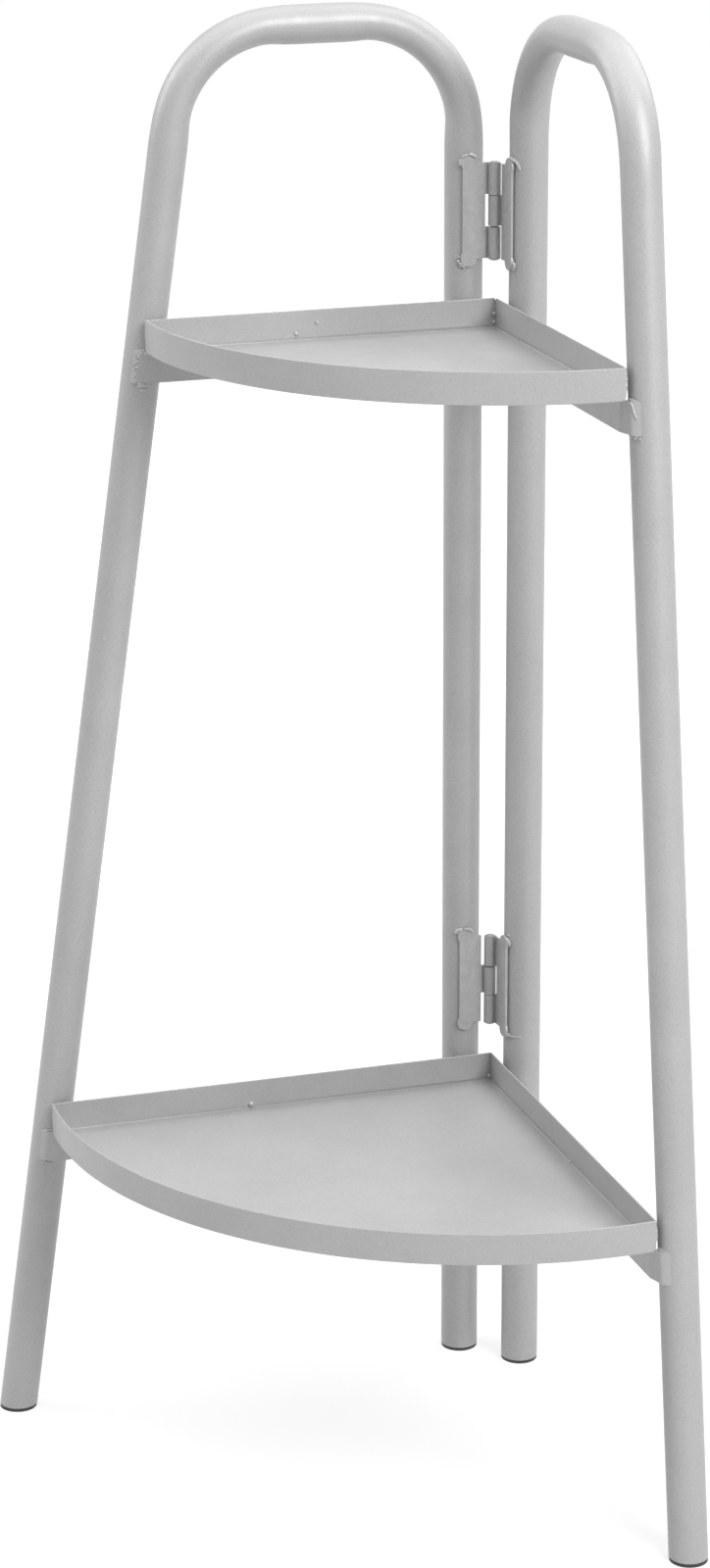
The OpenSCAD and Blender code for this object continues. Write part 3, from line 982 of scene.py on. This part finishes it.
@dataclass
class Crossbar:
    """A flat bar on edge from leg to leg, with its ends bent back onto the tubes.

    The blend is the stretch, past the line where an end meets its tube, over which the end's
    face runs down onto the tube. The end's back keeps clear of the tube up to the tab's reach,
    and lies a bite inside it beyond that.
    """

    shop: Workshop
    side: Side
    level: Level
    bottom: float
    height: float = 20.0
    thick: float = 2.5
    standoff: float = 2.3
    tab_angle: float = 16.0
    tab_reach: float = 4.0
    bend_reach: float = 8.0
    bend_steps: int = 8
    blend: tuple[float, float] = (0.6, 7.0)
    blend_steps: int = 14
    clear: float = 0.1
    bite: float = 0.5
    tip_sink: float = 0.06
    seam_turns: range = range(-3, 45, 4)
    seam_radius: float = 1.8
    seam_thinned: float = 0.45

    def tab(self, leg: float, sign: int, reach: float, rise: float) -> Vector:
        """Find a point beside a leg on the line of a bar's bent end.

        Args:
            leg: Where the leg's axis is along the frame.
            sign: 1 at the sloping leg, -1 at the upright one.
            reach: Distance along the end, past the line where it meets the tube.
            rise: Distance from the leg's axis.

        Returns:
            The point along and inward of the frame.
        """
        sin, cos = sin_cos(self.tab_angle)
        return Vector((leg + sign * (rise * sin + reach * cos), rise * cos - reach * sin))

    def middle_line(self) -> list[Vector]:
        """Draw the bar's middle line, seen from above, with its bends rounded.

        Returns:
            Points along and inward of the frame.
        """
        sizes = self.shop.sizes
        far = sizes.leg_axis(self.bottom)
        rise = sizes.tube_r + sizes.seat_gap + self.thick / 2
        offset = sizes.tube_r + self.standoff + self.thick / 2
        sin, cos = sin_cos(self.tab_angle)
        reach = (rise - cos * offset) / sin
        cut = self.bend_reach * math.tan(math.radians(self.tab_angle / 2))
        points = [self.tab(0, -1, self.tab_reach, rise), Vector((-reach, offset)),
                  Vector((far + reach, offset)), self.tab(far, 1, self.tab_reach, rise)]
        line = [points[0]]
        for before, bend, after in zip(points, points[1:], points[2:]):
            start = bend + (before - bend).normalized() * cut
            end = bend + (after - bend).normalized() * cut
            line += [(1 - t) ** 2 * start + 2 * t * (1 - t) * bend + t * t * end
                     for t in spaced(0, 1, self.bend_steps)]
        return [*line, points[-1]]

    def outline(self, rise: float) -> list[tuple[Vector, Vector]]:
        """Draw the bar's two faces, seen from above, with its ends run down onto the tubes.

        Args:
            rise: Height above the bar's lower edge.

        Returns:
            Pairs of points on the face towards the tubes and on the other one.
        """
        pairs = []
        line = self.middle_line()
        for before, point, after in zip(line, line[1:], line[2:]):
            run = (after - before).normalized()
            out = Vector((-run.y, run.x)) * self.thick / 2
            pairs.append((point - out, point + out))
        sizes = self.shop.sizes
        far = sizes.leg_axis(self.bottom + rise)
        seat = sizes.tube_r + sizes.seat_gap
        start, end = self.blend
        for share in spaced(0, 1, self.blend_steps):
            reach = start + (end - start) * share
            skin = math.sqrt(sizes.tube_r ** 2 - reach ** 2)
            low = min(seat, skin + self.clear) if reach < self.tab_reach else skin - self.bite
            high = (skin + (seat + self.thick - skin) * (1 - smooth_step(share))
                    - self.tip_sink * share)
            pairs.insert(0, (self.tab(0, -1, reach, low), self.tab(0, -1, reach, high)))
            pairs.append((self.tab(far, 1, reach, low), self.tab(far, 1, reach, high)))
        return pairs

    def build(self) -> None:
        """Make the bar and hand it over."""
        bottom, top = self.bottom, self.bottom + self.height
        rings = [[self.shop.sizes.place(self.side, *point, z) for point, z in
                  ((low[0], bottom), (low[1], bottom), (high[1], top), (high[0], top))]
                 for low, high in zip(self.outline(0), self.outline(self.height))]
        name = f"{self.side.word}_{self.level.value}_bar"
        self.shop.dress(loft(rings), name, self.side.body, Surface.BAR,
                        f"{self.side.word}_{self.level.value}_crossbar", 0.45)

    def round_leg(self, sign: int, turn: float, rise: float, out: float) -> Vector:
        """Find a point on a leg near the bar's end.

        Args:
            sign: 1 at the sloping leg, -1 at the upright one.
            turn: Angle in degrees round the leg, from the side that faces the trays outwards.
            rise: Height above the bar's lower edge.
            out: Distance outside the leg's surface.

        Returns:
            The point in metres.
        """
        sizes = self.shop.sizes
        z = self.bottom + rise
        leg = sizes.leg_axis(z) if sign > 0 else 0.0
        sin, cos = sin_cos(turn)
        reach = sizes.tube_r + out
        return sizes.place(self.side, leg + sign * reach * sin, reach * cos, z)

    def beads(self) -> list[BeadRun]:
        """Draw the seams above and below both ends.

        Returns:
            The seams.
        """
        return [BeadRun([self.round_leg(sign, turn, rise, out) for turn in self.seam_turns],
                        self.seam_radius, self.seam_thinned)
                for sign in (-1, 1) for rise, out in ((-0.2, 0.4), (self.height + 0.1, 0.2))]

    def shiny_beads(self) -> list[BeadRun]:
        """Draw the thicker bead that catches the light, where the bar has one; its finish is
        painted lighter, as a highlight.

        Returns:
            The bead, or nothing.
        """
        radius, places = SHINY_BEADS.get((self.level, self.side), (0.0, ()))
        line = [self.round_leg(1, *place) for place in places]
        return [BeadRun(line, radius)] if line else []

    def spatter(self) -> list[Spot]:
        """Place the small drops that make the most visible ends uneven.

        Returns:
            The drops.
        """
        return [Spot(self.round_leg(1, turn, rise, out),
                     self.shop.sizes.heading(self.side, *sin_cos(turn)), radius)
                for turn, rise, out, radius in BAR_DROPS.get((self.level, self.side), ())]


# Each drop: the angle round the leg, the height above the bar's lower edge, the distance
# outside the leg's surface, and the radius.
BAR_DROPS: dict[Where, tuple[tuple[float, ...], ...]] = {
    (Level.UPPER, Side.LEFT): (
        (20, 18.6, 2.6, 1.1), (24, 17.2, 2.3, 0.9), (31, 15.6, 1.7, 0.9), (26, 13.6, 2.2, 1.0),
        (33, 12.0, 1.5, 0.9), (27, 9.8, 2.1, 0.9), (34, 8.4, 1.4, 0.8), (28, 6.2, 2.0, 1.0),
        (33, 3.6, 1.5, 0.9), (26, 2.0, 2.2, 0.9), (38, 17.4, 0.9, 0.7), (41, 10.4, 0.6, 0.6),
        (14, -1.4, 1.9, 1.8), (6, -1.6, 2.0, 1.8), (-2, -1.0, 1.9, 1.6), (10, -4.2, 0.6, 1.9),
        (2, -4.4, 0.5, 1.6), (19, -2.8, 0.9, 1.3)),
    (Level.UPPER, Side.RIGHT): ((33, -1.4, 1.2, 0.9), (40, -2.0, 0.4, 0.7), (27, -2.4, 1.0, 1.0)),
    (Level.LOWER, Side.LEFT): ((12, -1.8, 1.4, 1.2), (5, -2.6, 0.8, 1.1), (20, -1.2, 1.3, 0.9)),
}
# Each bead: its radius, and its points, placed as the drops are.
# These beads take the weld finish, whose lighter tone is a painted highlight.
SHINY_BEADS: dict[Where, tuple[float, tuple[tuple[float, ...], ...]]] = {
    (Level.UPPER, Side.LEFT): (
        1.2, ((15, 18.4, 2.2), (9, 18.7, 2.5), (4, 18.7, 2.6), (-1, 18.4, 2.6))),
    (Level.UPPER, Side.RIGHT): (
        0.75, ((20, 18.8, 2.7), (23, 19.3, 2.6), (26, 18.4, 2.4), (28, 16.6, 2.2),
               (30, 14.6, 1.9), (32, 12.8, 1.7), (34, 11.0, 1.45), (37, 9.4, 1.0))),
}


@dataclass
class FootPlug:
    """A black plug in a tube's end."""

    shop: Workshop
    side: Side
    where: str

    def build(self) -> None:
        """Make the plug from the CAD shape with its edges eased, and hand it over."""
        node = f"{self.side.word}_{self.where}_foot_plug"
        self.shop.dress(node_mesh(node), f"{self.side.word}_{self.where}_plug", self.side.body,
                        Surface.PLUG, node, 0.35)


@dataclass(frozen=True)
class EarBead:
    """A weld bead round an ear; each pair holds the values at its start and at its end.

    The turn is in degrees from the ear's end towards its outer edge, the lift is the distance
    outside the ear's edge and the hold is the distance from the tube's surface.
    """

    top: bool
    turn: tuple[float, float]
    radius: float
    lift: tuple[float, float]
    hold: tuple[float, float]


EAR_BEADS: dict[Where, tuple[EarBead, ...]] = {
    (Level.UPPER, Side.LEFT): (EarBead(True, (-64, 10), 1.25, (0.1, 0.2), (2.0, 2.1)),
                               EarBead(True, (10, 56), 1.0, (0.2, 0.1), (2.0, 1.7)),
                               EarBead(True, (56, 110), 1.2, (0.1, 0.1), (1.6, 1.8)),
                               EarBead(False, (25, 85), 1.3, (0.4, 0.9), (0.8, 0.5))),
    (Level.LOWER, Side.LEFT): (EarBead(True, (-64, 14), 1.2, (0.1, 0.3), (2.0, 2.0)),
                               EarBead(True, (20, 82), 1.7, (0.2, 1.3), (1.0, 0.2)),
                               EarBead(False, (-20, 60), 0.8, (0.0, 0.1), (0.9, 0.9))),
    (Level.UPPER, Side.RIGHT): (EarBead(True, (0, 106), 1.25, (-0.3, 2.8), (1.8, 0.1)),
                                EarBead(False, (28, 98), 1.35, (0.5, -0.1), (0.5, 1.1))),
    (Level.LOWER, Side.RIGHT): (EarBead(True, (30, 102), 1.5, (-0.3, 0.3), (1.4, 0.8)),
                                EarBead(False, (35, 72), 1.3, (0.0, 0.3), (1.0, 0.6)),
                                EarBead(False, (58, 74), 0.7, (0.2, 6.3), (0.4, 0.2))),
}
# Each drop: whether it is at the upper ear, its turn, lift and hold, and its radius.
EAR_DROPS: dict[Where, tuple[tuple[float, ...], ...]] = {
    (Level.UPPER, Side.LEFT): (
        (False, 28, 0.9, 1.5, 0.9), (False, 44, 1.9, 0.9, 0.8), (False, 56, 0.7, 1.6, 1.0),
        (False, 66, 2.4, 0.2, 0.7), (False, 76, 1.3, 1.3, 0.9), (False, 88, 2.2, 0.3, 0.8),
        (False, 97, 0.9, 1.2, 0.8), (False, 52, 3.2, 0.1, 0.6)),
    (Level.LOWER, Side.RIGHT): ((True, 35, 2.2, 0.1, 0.8), (False, 55, 1.8, 0.2, 0.9)),
}


@dataclass
class Hinge:
    """A knuckled butt hinge whose leaves are welded to the two upright legs by their ears."""

    shop: Workshop
    level: Level
    bottom: float
    height: float = 62.0
    pin_along: float = -15.08
    pin_offset: float = 17.8
    knuckle_r: float = 4.1
    leaf_past_leg: float = 4.2
    ear_radius: float = 5.4
    ear_jut: float = 1.2
    ear_overlap: float = 0.1
    bead_steps: int = 12

    @property
    def tilt(self) -> float:
        """Find how far a leaf leans from its frame's plane.

        Returns:
            The angle in radians.
        """
        sizes = self.shop.sizes
        seat = sizes.tube_r + sizes.seat_gap + self.knuckle_r
        reach = math.hypot(self.pin_along, self.pin_offset)
        return math.acos(seat / reach) - math.atan2(-self.pin_along, self.pin_offset)

    def near_ear(self, side: Side, top: bool, turn: float, lift: float, hold: float) -> Vector:
        """Find a point beside an ear, just off the tube's surface.

        Args:
            side: The frame.
            top: Whether the upper ear is meant.
            turn: Angle in degrees from the ear's end towards its outer edge.
            lift: Distance outside the ear's edge.
            hold: Distance from the tube's surface.

        Returns:
            The point in metres.
        """
        ear_sin, ear_cos = sin_cos(turn)
        reach = self.ear_radius + lift
        along = self.leaf_past_leg - self.ear_radius + self.ear_jut + reach * ear_sin
        out = math.sqrt(max(0.0, self.shop.sizes.tube_r ** 2 - along ** 2)) + hold
        middle = self.bottom + (self.height - self.ear_overlap if top else self.ear_overlap)
        sin, cos = math.sin(self.tilt), math.cos(self.tilt)
        return self.shop.sizes.place(side, along * cos + out * sin, out * cos - along * sin,
                                     middle + reach * ear_cos * (1 if top else -1))

    def beads(self, side: Side) -> list[BeadRun]:
        """Draw the beads round the two ears of a side's leaf.

        Args:
            side: The frame.

        Returns:
            The beads.
        """
        made = []
        for plan in EAR_BEADS[self.level, side]:
            stations = zip(*(spaced(*pair, self.bead_steps)
                             for pair in (plan.turn, plan.lift, plan.hold)))
            made.append(BeadRun([self.near_ear(side, plan.top, *values) for values in stations],
                                plan.radius))
        return made

    def spatter(self, side: Side) -> list[Spot]:
        """Place the small uneven drops about the ears whose beads are untidy.

        Args:
            side: The frame.

        Returns:
            The drops.
        """
        return [Spot(self.near_ear(side, top, turn, lift, hold),
                     self.shop.sizes.heading(side, math.sin(math.radians(turn)), 1), radius)
                for top, turn, lift, hold, radius in EAR_DROPS.get((self.level, side), ())]

    def build(self) -> None:
        """Make both leaves and the pin with their edges eased, and hand them over."""
        word = self.level.value
        for side in Side:
            node = f"{word}_hinge_{side.word}_leaf"
            self.shop.dress(node_mesh(node), f"{word}_{side.word}_leaf", side.body,
                            Surface.HINGE, node, 0.13, 2, 40)
        node = f"{word}_hinge_pin"
        self.shop.dress(node_mesh(node), f"{word}_pin", "hinge_pins", Surface.PIN, node,
                        0.1, 2, 40)


@dataclass(frozen=True)
class FlangeSpot:
    """A small weld spot inside a tray's flange; lengths are in millimetres."""

    side: Side
    along: float
    height: float
    radius: float


@dataclass
class Tray:
    """A fan-shaped tray: a floor and two flanges from one sheet, and a curved rim.

    Its own coordinates start at its back corner; x goes across it and y to the back.
    """

    shop: Workshop
    level: Level
    bottom: float
    shift: float
    spots: tuple[FlangeSpot, ...]
    corner_spots: tuple[float, ...]
    seed: float
    notch: float = 0.5
    height: float = 20.5
    sheet: float = 1.2
    fold: float = 1.8
    flange_offset: float = 15.5
    past_leg: float = 5.0
    rim_corner: float = 3.0
    slit: float = 0.15
    slit_bottom: float = 3.0
    slit_step: float = 0.05
    notch_depth: float = 3.0
    arc_steps: int = 60
    bead_lift: float = 0.2
    bead_ends: tuple[float, float] = (6.0, 16.0)
    bead_radius: float = 1.3
    corner_spot_radius: float = 1.4

    @property
    def side_length(self) -> float:
        """Measure a side flange from the back corner.

        Returns:
            Its length.
        """
        sizes = self.shop.sizes
        corner = self.flange_offset - sizes.leg_gap * HALF_ROOT
        return sizes.leg_axis(self.bottom + self.height) + self.past_leg - corner

    @property
    def radius(self) -> float:
        """Return the radius of the rim's inner face."""
        cross = self.side_length * HALF_ROOT
        return math.hypot(cross, cross - self.shift)

    def place(self, x: float, y: float, z: float) -> Vector:
        """Turn the tray's own coordinates into the shelf's.

        Args:
            x: Distance across the tray.
            y: Distance to the back.
            z: Height above the tray's underside.

        Returns:
            The point in metres.
        """
        sizes = self.shop.sizes
        corner_y = sizes.leg_gap / 2 - self.flange_offset / HALF_ROOT - sizes.middle_y
        return Vector((x, corner_y + y, self.bottom + z)) * MM

    def on_flange(self, side: Side, along: float, inward: float) -> tuple[float, float]:
        """Return the x and y of a point this far along and inside of a side's flange."""
        return side.value * (inward - along) * HALF_ROOT, -(along + inward) * HALF_ROOT

    def on_arc(self, turn: float, radius: float, z: float) -> Vector:
        """Return the point at an angle on a circle about the rim's centre, in metres."""
        return self.place(math.sin(turn) * radius, -self.shift - math.cos(turn) * radius, z)

    def flange_end(self, inward: float, radius: float) -> float:
        """Find where a circle about the rim's centre crosses a flange.

        Args:
            inward: Distance from the flange's outer face.
            radius: The circle's radius.

        Returns:
            The distance along the flange.
        """
        shift = self.shift * math.sqrt(2)
        rest = inward ** 2 - shift * inward + self.shift ** 2 - radius ** 2
        return (shift + math.sqrt(shift ** 2 - 4 * rest)) / 2

    def half_arc(self, inward: float, radius: float) -> float:
        """Return the angle from the middle to where a circle crosses a flange, in radians."""
        x, y = self.on_flange(Side.LEFT, self.flange_end(inward, radius), inward)
        return math.atan2(-x, -(y + self.shift))

    def section(self, inner: bool) -> list[tuple[float, float]]:
        """List a flange's section from the floor's edge up.

        Args:
            inner: Whether the inner face is meant.

        Returns:
            Distances from the flange's outer face and heights.
        """
        depth = self.sheet if inner else 0.0
        radius = self.fold - depth
        bend = [(self.fold - radius * sin, self.fold - radius * cos)
                for sin, cos in map(sin_cos, spaced(0, 90, FOLD_STEPS))]
        return bend + [(depth, z) for z in (
            self.slit_bottom, self.slit_bottom + self.slit_step, self.height - self.notch_depth,
            self.height)]

    def strip(self, build: bmesh.types.BMesh, side: Side, inner: bool,
              edge: float) -> list[tuple[Any, Any]]:
        """Lay one face of a flange, from its fold up.

        Args:
            build: The bmesh that gets it.
            side: The flange's side.
            inner: Whether the inner face is meant.
            edge: The radius at which the sheet ends.

        Returns:
            The vertices at its back and front ends, row by row.
        """
        rows = []
        for inward, z in self.section(inner):
            gap = 0.0 if z <= self.slit_bottom else self.slit
            gap = self.notch if z >= self.height else gap
            back = self.on_flange(side, inward + gap, inward)
            front = self.on_flange(side, self.flange_end(inward, edge), inward)
            rows.append(tuple(build.verts.new(self.place(*end, z)) for end in (back, front)))
        for low, high in pairwise(rows):
            build.faces.new((low[0], low[1], high[1], high[0]))
        return rows

    def pan_mesh(self) -> bpy.types.Mesh:
        """Make the floor and the two flanges as one sheet with an open seam at the back.

        Returns:
            The mesh.
        """
        build = bmesh.new()
        edge = self.radius - self.shop.sizes.seat_gap
        reach = self.half_arc(self.fold, edge)
        strips, floors = {}, []
        for inner in (False, True):
            for side in Side:
                strips[side, inner] = self.strip(build, side, inner, edge)
            front = [build.verts.new(self.on_arc(turn, edge, self.sheet if inner else 0.0))
                     for turn in spaced(-reach, reach, self.arc_steps)[1:-1]]
            left, right = strips[Side.LEFT, inner][0], strips[Side.RIGHT, inner][0]
            floors.append([left[1], *front, right[1]])
            build.faces.new([right[0], left[0], *floors[-1]])
        for near, far in pairwise(zip(*floors)):
            build.faces.new((near[0], far[0], far[1], near[1]))
        for side in Side:
            rows = list(zip(strips[side, False], strips[side, True]))
            for k, (low, high) in enumerate(pairwise(rows)):
                for end in (1, 0) if k > FOLD_STEPS else (1,):
                    build.faces.new((low[0][end], high[0][end], high[1][end], low[1][end]))
            outer, inner_row = rows[-1]
            build.faces.new((outer[0], outer[1], inner_row[1], inner_row[0]))
        bmesh.ops.remove_doubles(build, verts=build.verts, dist=0.003 * MM)
        bmesh.ops.recalc_face_normals(build, faces=build.faces)
        top = (self.bottom + self.height) * MM - 1e-6
        tops = [line for line in build.edges if all(vert.co.z > top for vert in line.verts)]
        bmesh.ops.bevel(build, geom=tops, offset=0.3 * MM, segments=3, profile=0.5,
                        affect="EDGES", clamp_overlap=True)
        return mesh_of(build)

    def rim_mesh(self) -> bpy.types.Mesh:
        """Make the curved rim, whose lower corners are rounded.

        Returns:
            The mesh.
        """
        inner, outer = self.radius, self.radius + self.sheet
        corner = self.rim_corner
        reach = self.half_arc(0, inner)
        straight = reach - corner / inner
        turns = (spaced(-reach, -straight, 6) + spaced(-straight, straight, 80)[1:-1]
                 + spaced(straight, reach, 6))
        rings = []
        for turn in turns:
            past = max(0.0, corner - (reach - abs(turn)) * inner)
            low = corner - math.sqrt(max(0.0, corner ** 2 - past ** 2))
            rings.append([self.on_arc(turn, radius, z) for radius, z in
                          ((inner, low), (outer, low), (outer, self.height),
                           (inner, self.height))])
        return loft(rings)

    def welds(self, name: str) -> bpy.types.Object:
        """Lay the beads at the three corners and the small spots on the flanges.

        Args:
            name: The piece's name.

        Returns:
            The piece.
        """
        corners = [(0.0, self.bead_lift)]
        corners += [self.on_flange(side, self.side_length, self.bead_lift) for side in Side]
        beads = [BeadRun([self.place(x, y, z) for z in self.bead_ends], self.bead_radius)
                 for x, y in corners]
        spots = [Spot(self.place(*self.on_flange(spot.side, spot.along, self.sheet), spot.height),
                      Vector((spot.side.value * HALF_ROOT, -HALF_ROOT, 0)), spot.radius)
                 for spot in self.spots]
        spots += [Spot(self.place(0, -self.sheet / HALF_ROOT - 1.5, z), Vector((0, -1, 0)),
                       self.corner_spot_radius) for z in self.corner_spots]
        # The beads and spots take the weld finish, whose lighter tone is a painted highlight.
        return self.shop.weld(name, beads, spots, self.seed)

    def build(self) -> None:
        """Make the pan, the rim and the welds, and hand them over."""
        word = self.level.value
        body = f"{word}_tray"
        pan = link_object(f"{word}_folded_pan", self.pan_mesh())
        pan.data.materials.append(self.shop.paint(Surface.SHEET))
        even_normals(pan, 90, False)
        hand_over(pan, body, Surface.SHEET, f"{body}_pan")
        self.shop.dress(self.rim_mesh(), f"{word}_front_rim", body, Surface.SHEET, f"{body}_rim",
                        0.4)
        hand_over(self.welds(f"{body}_beads"), body, Surface.WELD, f"{body}_welds")


@dataclass
class FrameWelds:
    """The beads that fix the hinge leaves and the crossbars to one frame's tube."""

    shop: Workshop
    side: Side
    hinges: list[Hinge]
    bars: list[Crossbar]
    seed: float

    def build(self) -> None:
        """Lay the beads as three pieces and hand them over."""
        word, side = self.side.word, self.side
        ears = [bead for hinge in self.hinges for bead in hinge.beads(side)]
        ear_drops = [drop for hinge in self.hinges for drop in hinge.spatter(side)]
        seams = [bead for bar in self.bars for bead in bar.beads()]
        bar_drops = [drop for bar in self.bars for drop in bar.spatter()]
        shiny = [bead for bar in self.bars for bead in bar.shiny_beads()]
        # The ear and shiny beads take the weld finish, whose lighter tone is a painted highlight;
        # the bar seams take the seam finish at the coat's own tone.
        for title, beads, drops, seed, surface, ripple, nodes in (
                ("ear", ears, ear_drops, self.seed, Surface.WELD, ROUGH, ["hinge"]),
                ("bar", seams, bar_drops, self.seed + 1, Surface.SEAM, SMOOTH, ["crossbar"]),
                ("shiny", shiny, [], self.seed + 2, Surface.WELD, ROUGH, [])):
            piece = self.shop.weld(f"{word}_{title}_beads", beads, drops, seed, surface, ripple)
            hand_over(piece, side.body, surface, *(f"{word}_{node}_welds" for node in nodes))


@dataclass(frozen=True)
class StudioCamera:
    """The camera, where the photographer's stood; lengths are in metres."""

    position: tuple[float, float, float] = (1.18852, -2.33435, 1.27048)
    yaw: float = 27.46
    pitch: float = 17.25
    roll: float = -0.216
    lens: float = 98.64

    def build(self) -> None:
        """Make the camera and look through it."""
        yaw_sin, yaw_cos = sin_cos(self.yaw)
        pitch_sin, pitch_cos = sin_cos(self.pitch)
        roll_sin, roll_cos = sin_cos(self.roll)
        ahead = Vector((-yaw_sin * pitch_cos, yaw_cos * pitch_cos, -pitch_sin))
        right = Vector((yaw_cos, yaw_sin, 0))
        up = right.cross(ahead)
        turned = Matrix((roll_cos * right + roll_sin * up, roll_cos * up - roll_sin * right,
                         -ahead)).transposed()
        data = bpy.data.cameras.new("camera")
        data.lens = self.lens
        data.sensor_width = 36
        data.clip_end = 100
        camera = link_object("camera", data)
        camera.matrix_world = Matrix.Translation(self.position) @ turned.to_4x4()
        bpy.context.scene.camera = camera


@dataclass(frozen=True)
class Softbox:
    """A large round soft lamp; lengths are in metres."""

    title: str
    position: tuple[float, float, float]
    aim_height: float
    width: float
    power: float

    def build(self) -> None:
        """Hang the lamp and turn it to the shelf's middle."""
        data = bpy.data.lights.new(self.title, "AREA")
        data.shape = "DISK"
        data.size = self.width
        data.energy = self.power
        lamp = link_object(self.title, data)
        lamp.location = self.position
        aim = Vector((0, 0, self.aim_height)) - Vector(self.position)
        lamp.rotation_euler = aim.to_track_quat("-Z", "Y").to_euler()


Shader = Callable[[NodeGraph], Socket]


@dataclass(frozen=True)
class Studio:
    """A pale floor under an even white sky, with soft lamps; lengths are in metres.

    The floor glows a little less near the shelf, so that its shadow shows there.
    """

    lamps: tuple[Softbox, ...] = (
        Softbox("overhead", (-0.2, -0.3, 3.2), 0.4, 4.2, 69),
        Softbox("front_right", (2.38, -1.11, 2.34), 0.5, 1.8, 77),
        Softbox("left", (-2.73, -0.48, 2.10), 0.5, 2.2, 42),
        Softbox("back", (0.98, 2.23, 2.65), 0.5, 2.2, 28),
    )
    sky: float = 0.02
    floor_tone: float = 0.8
    floor_share: float = 0.35
    floor_glow: tuple[float, float] = (0.75, 1.0)
    glow_reach: tuple[float, float] = (0.45, 2.2)
    floor_radius: float = 30.0

    def split(self, owner: bpy.types.World | bpy.types.Material, kind: str,
              lit: Shader, shown: Shader) -> None:
        """Light with one shader and show another one as the background.

        Args:
            owner: The world or the material.
            kind: The type of its output node.
            lit: Makes the shader that lights.
            shown: Makes the shader that the camera and reflections see.
        """
        owner.use_nodes = True
        owner.node_tree.nodes.clear()
        graph = NodeGraph(owner.node_tree)
        rays = graph.add("ShaderNodeLightPath").outputs
        seen = graph.math("MAXIMUM", rays["Is Camera Ray"], graph.math(
            "MAXIMUM", rays["Is Glossy Ray"], rays["Is Transmission Ray"]))
        graph.add(kind, graph.value("ShaderNodeMixShader", seen, lit(graph), shown(graph)))

    def white_floor(self, graph: NodeGraph) -> Socket:
        """Make the floor's look: a faint matt share over a glow that grows outwards.

        Args:
            graph: The floor's nodes.

        Returns:
            The shader.
        """
        distance = graph.value("ShaderNodeVectorMath", graph.place(), operation="LENGTH")
        rise = graph.spread(distance, *self.floor_glow, self.glow_reach)
        return graph.value("ShaderNodeAddShader", graph.matt(self.floor_share),
                           graph.value("ShaderNodeEmission", WHITE, rise))

    def build(self) -> None:
        """Set up the sky, the floor and the lamps."""
        scene = bpy.context.scene
        scene.view_settings.view_transform = "Standard"
        scene.world = bpy.data.worlds.new("sky")
        self.split(scene.world, "ShaderNodeOutputWorld",
                   lambda graph: graph.value("ShaderNodeBackground", WHITE, self.sky),
                   lambda graph: graph.value("ShaderNodeBackground", WHITE, 1))
        build = bmesh.new()
        bmesh.ops.create_circle(build, cap_ends=True, segments=64, radius=self.floor_radius)
        floor = link_object("floor", mesh_of(build))
        if floor.data.polygons[0].normal.z < 0:
            floor.data.flip_normals()
        paper = bpy.data.materials.new("paper")
        self.split(paper, "ShaderNodeOutputMaterial",
                   lambda graph: graph.matt(self.floor_tone), self.white_floor)
        floor.data.materials.append(paper)
        for lamp in self.lamps:
            lamp.build()


def main() -> None:
    """Build the shelf, piece by piece, in its studio."""
    logging.basicConfig(level=logging.INFO, format="%(name)s: %(message)s")
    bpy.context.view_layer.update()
    StudioCamera().build()
    Studio().build()
    shop = Workshop()
    upper_spots = (FlangeSpot(Side.LEFT, 122, 12, 1.5), FlangeSpot(Side.LEFT, 136, 5.5, 1.6),
                   FlangeSpot(Side.RIGHT, 47, 2.6, 1.0))
    lower_spots = (FlangeSpot(Side.LEFT, 172, 3.8, 2.1), FlangeSpot(Side.LEFT, 163, 9.5, 0.9),
                   FlangeSpot(Side.RIGHT, 160, 2.4, 1.2), FlangeSpot(Side.RIGHT, 64, 2.2, 0.9))
    trays = [Tray(shop, Level.UPPER, 724.4, 3.0, upper_spots, (5.0, 10.7), 1.5, notch=1.4),
             Tray(shop, Level.LOWER, 201.6, 30.0, lower_spots, (4.5,), 2.5)]
    hinges = [Hinge(shop, Level.UPPER, 771.1), Hinge(shop, Level.LOWER, 245.4)]
    for side, seed in ((Side.LEFT, 3.1), (Side.RIGHT, 4.7)):
        bars = [Crossbar(shop, side, Level.UPPER, 704.3), Crossbar(shop, side, Level.LOWER, 181.5)]
        plugs = [FootPlug(shop, side, "back"), FootPlug(shop, side, "front")]
        for part in [FrameTube(shop, side), *bars, *plugs,
                     FrameWelds(shop, side, hinges, bars, seed)]:
            part.build()
    for part in [*hinges, *trays]:
        part.build()


if __name__ == "__main__":
    main()
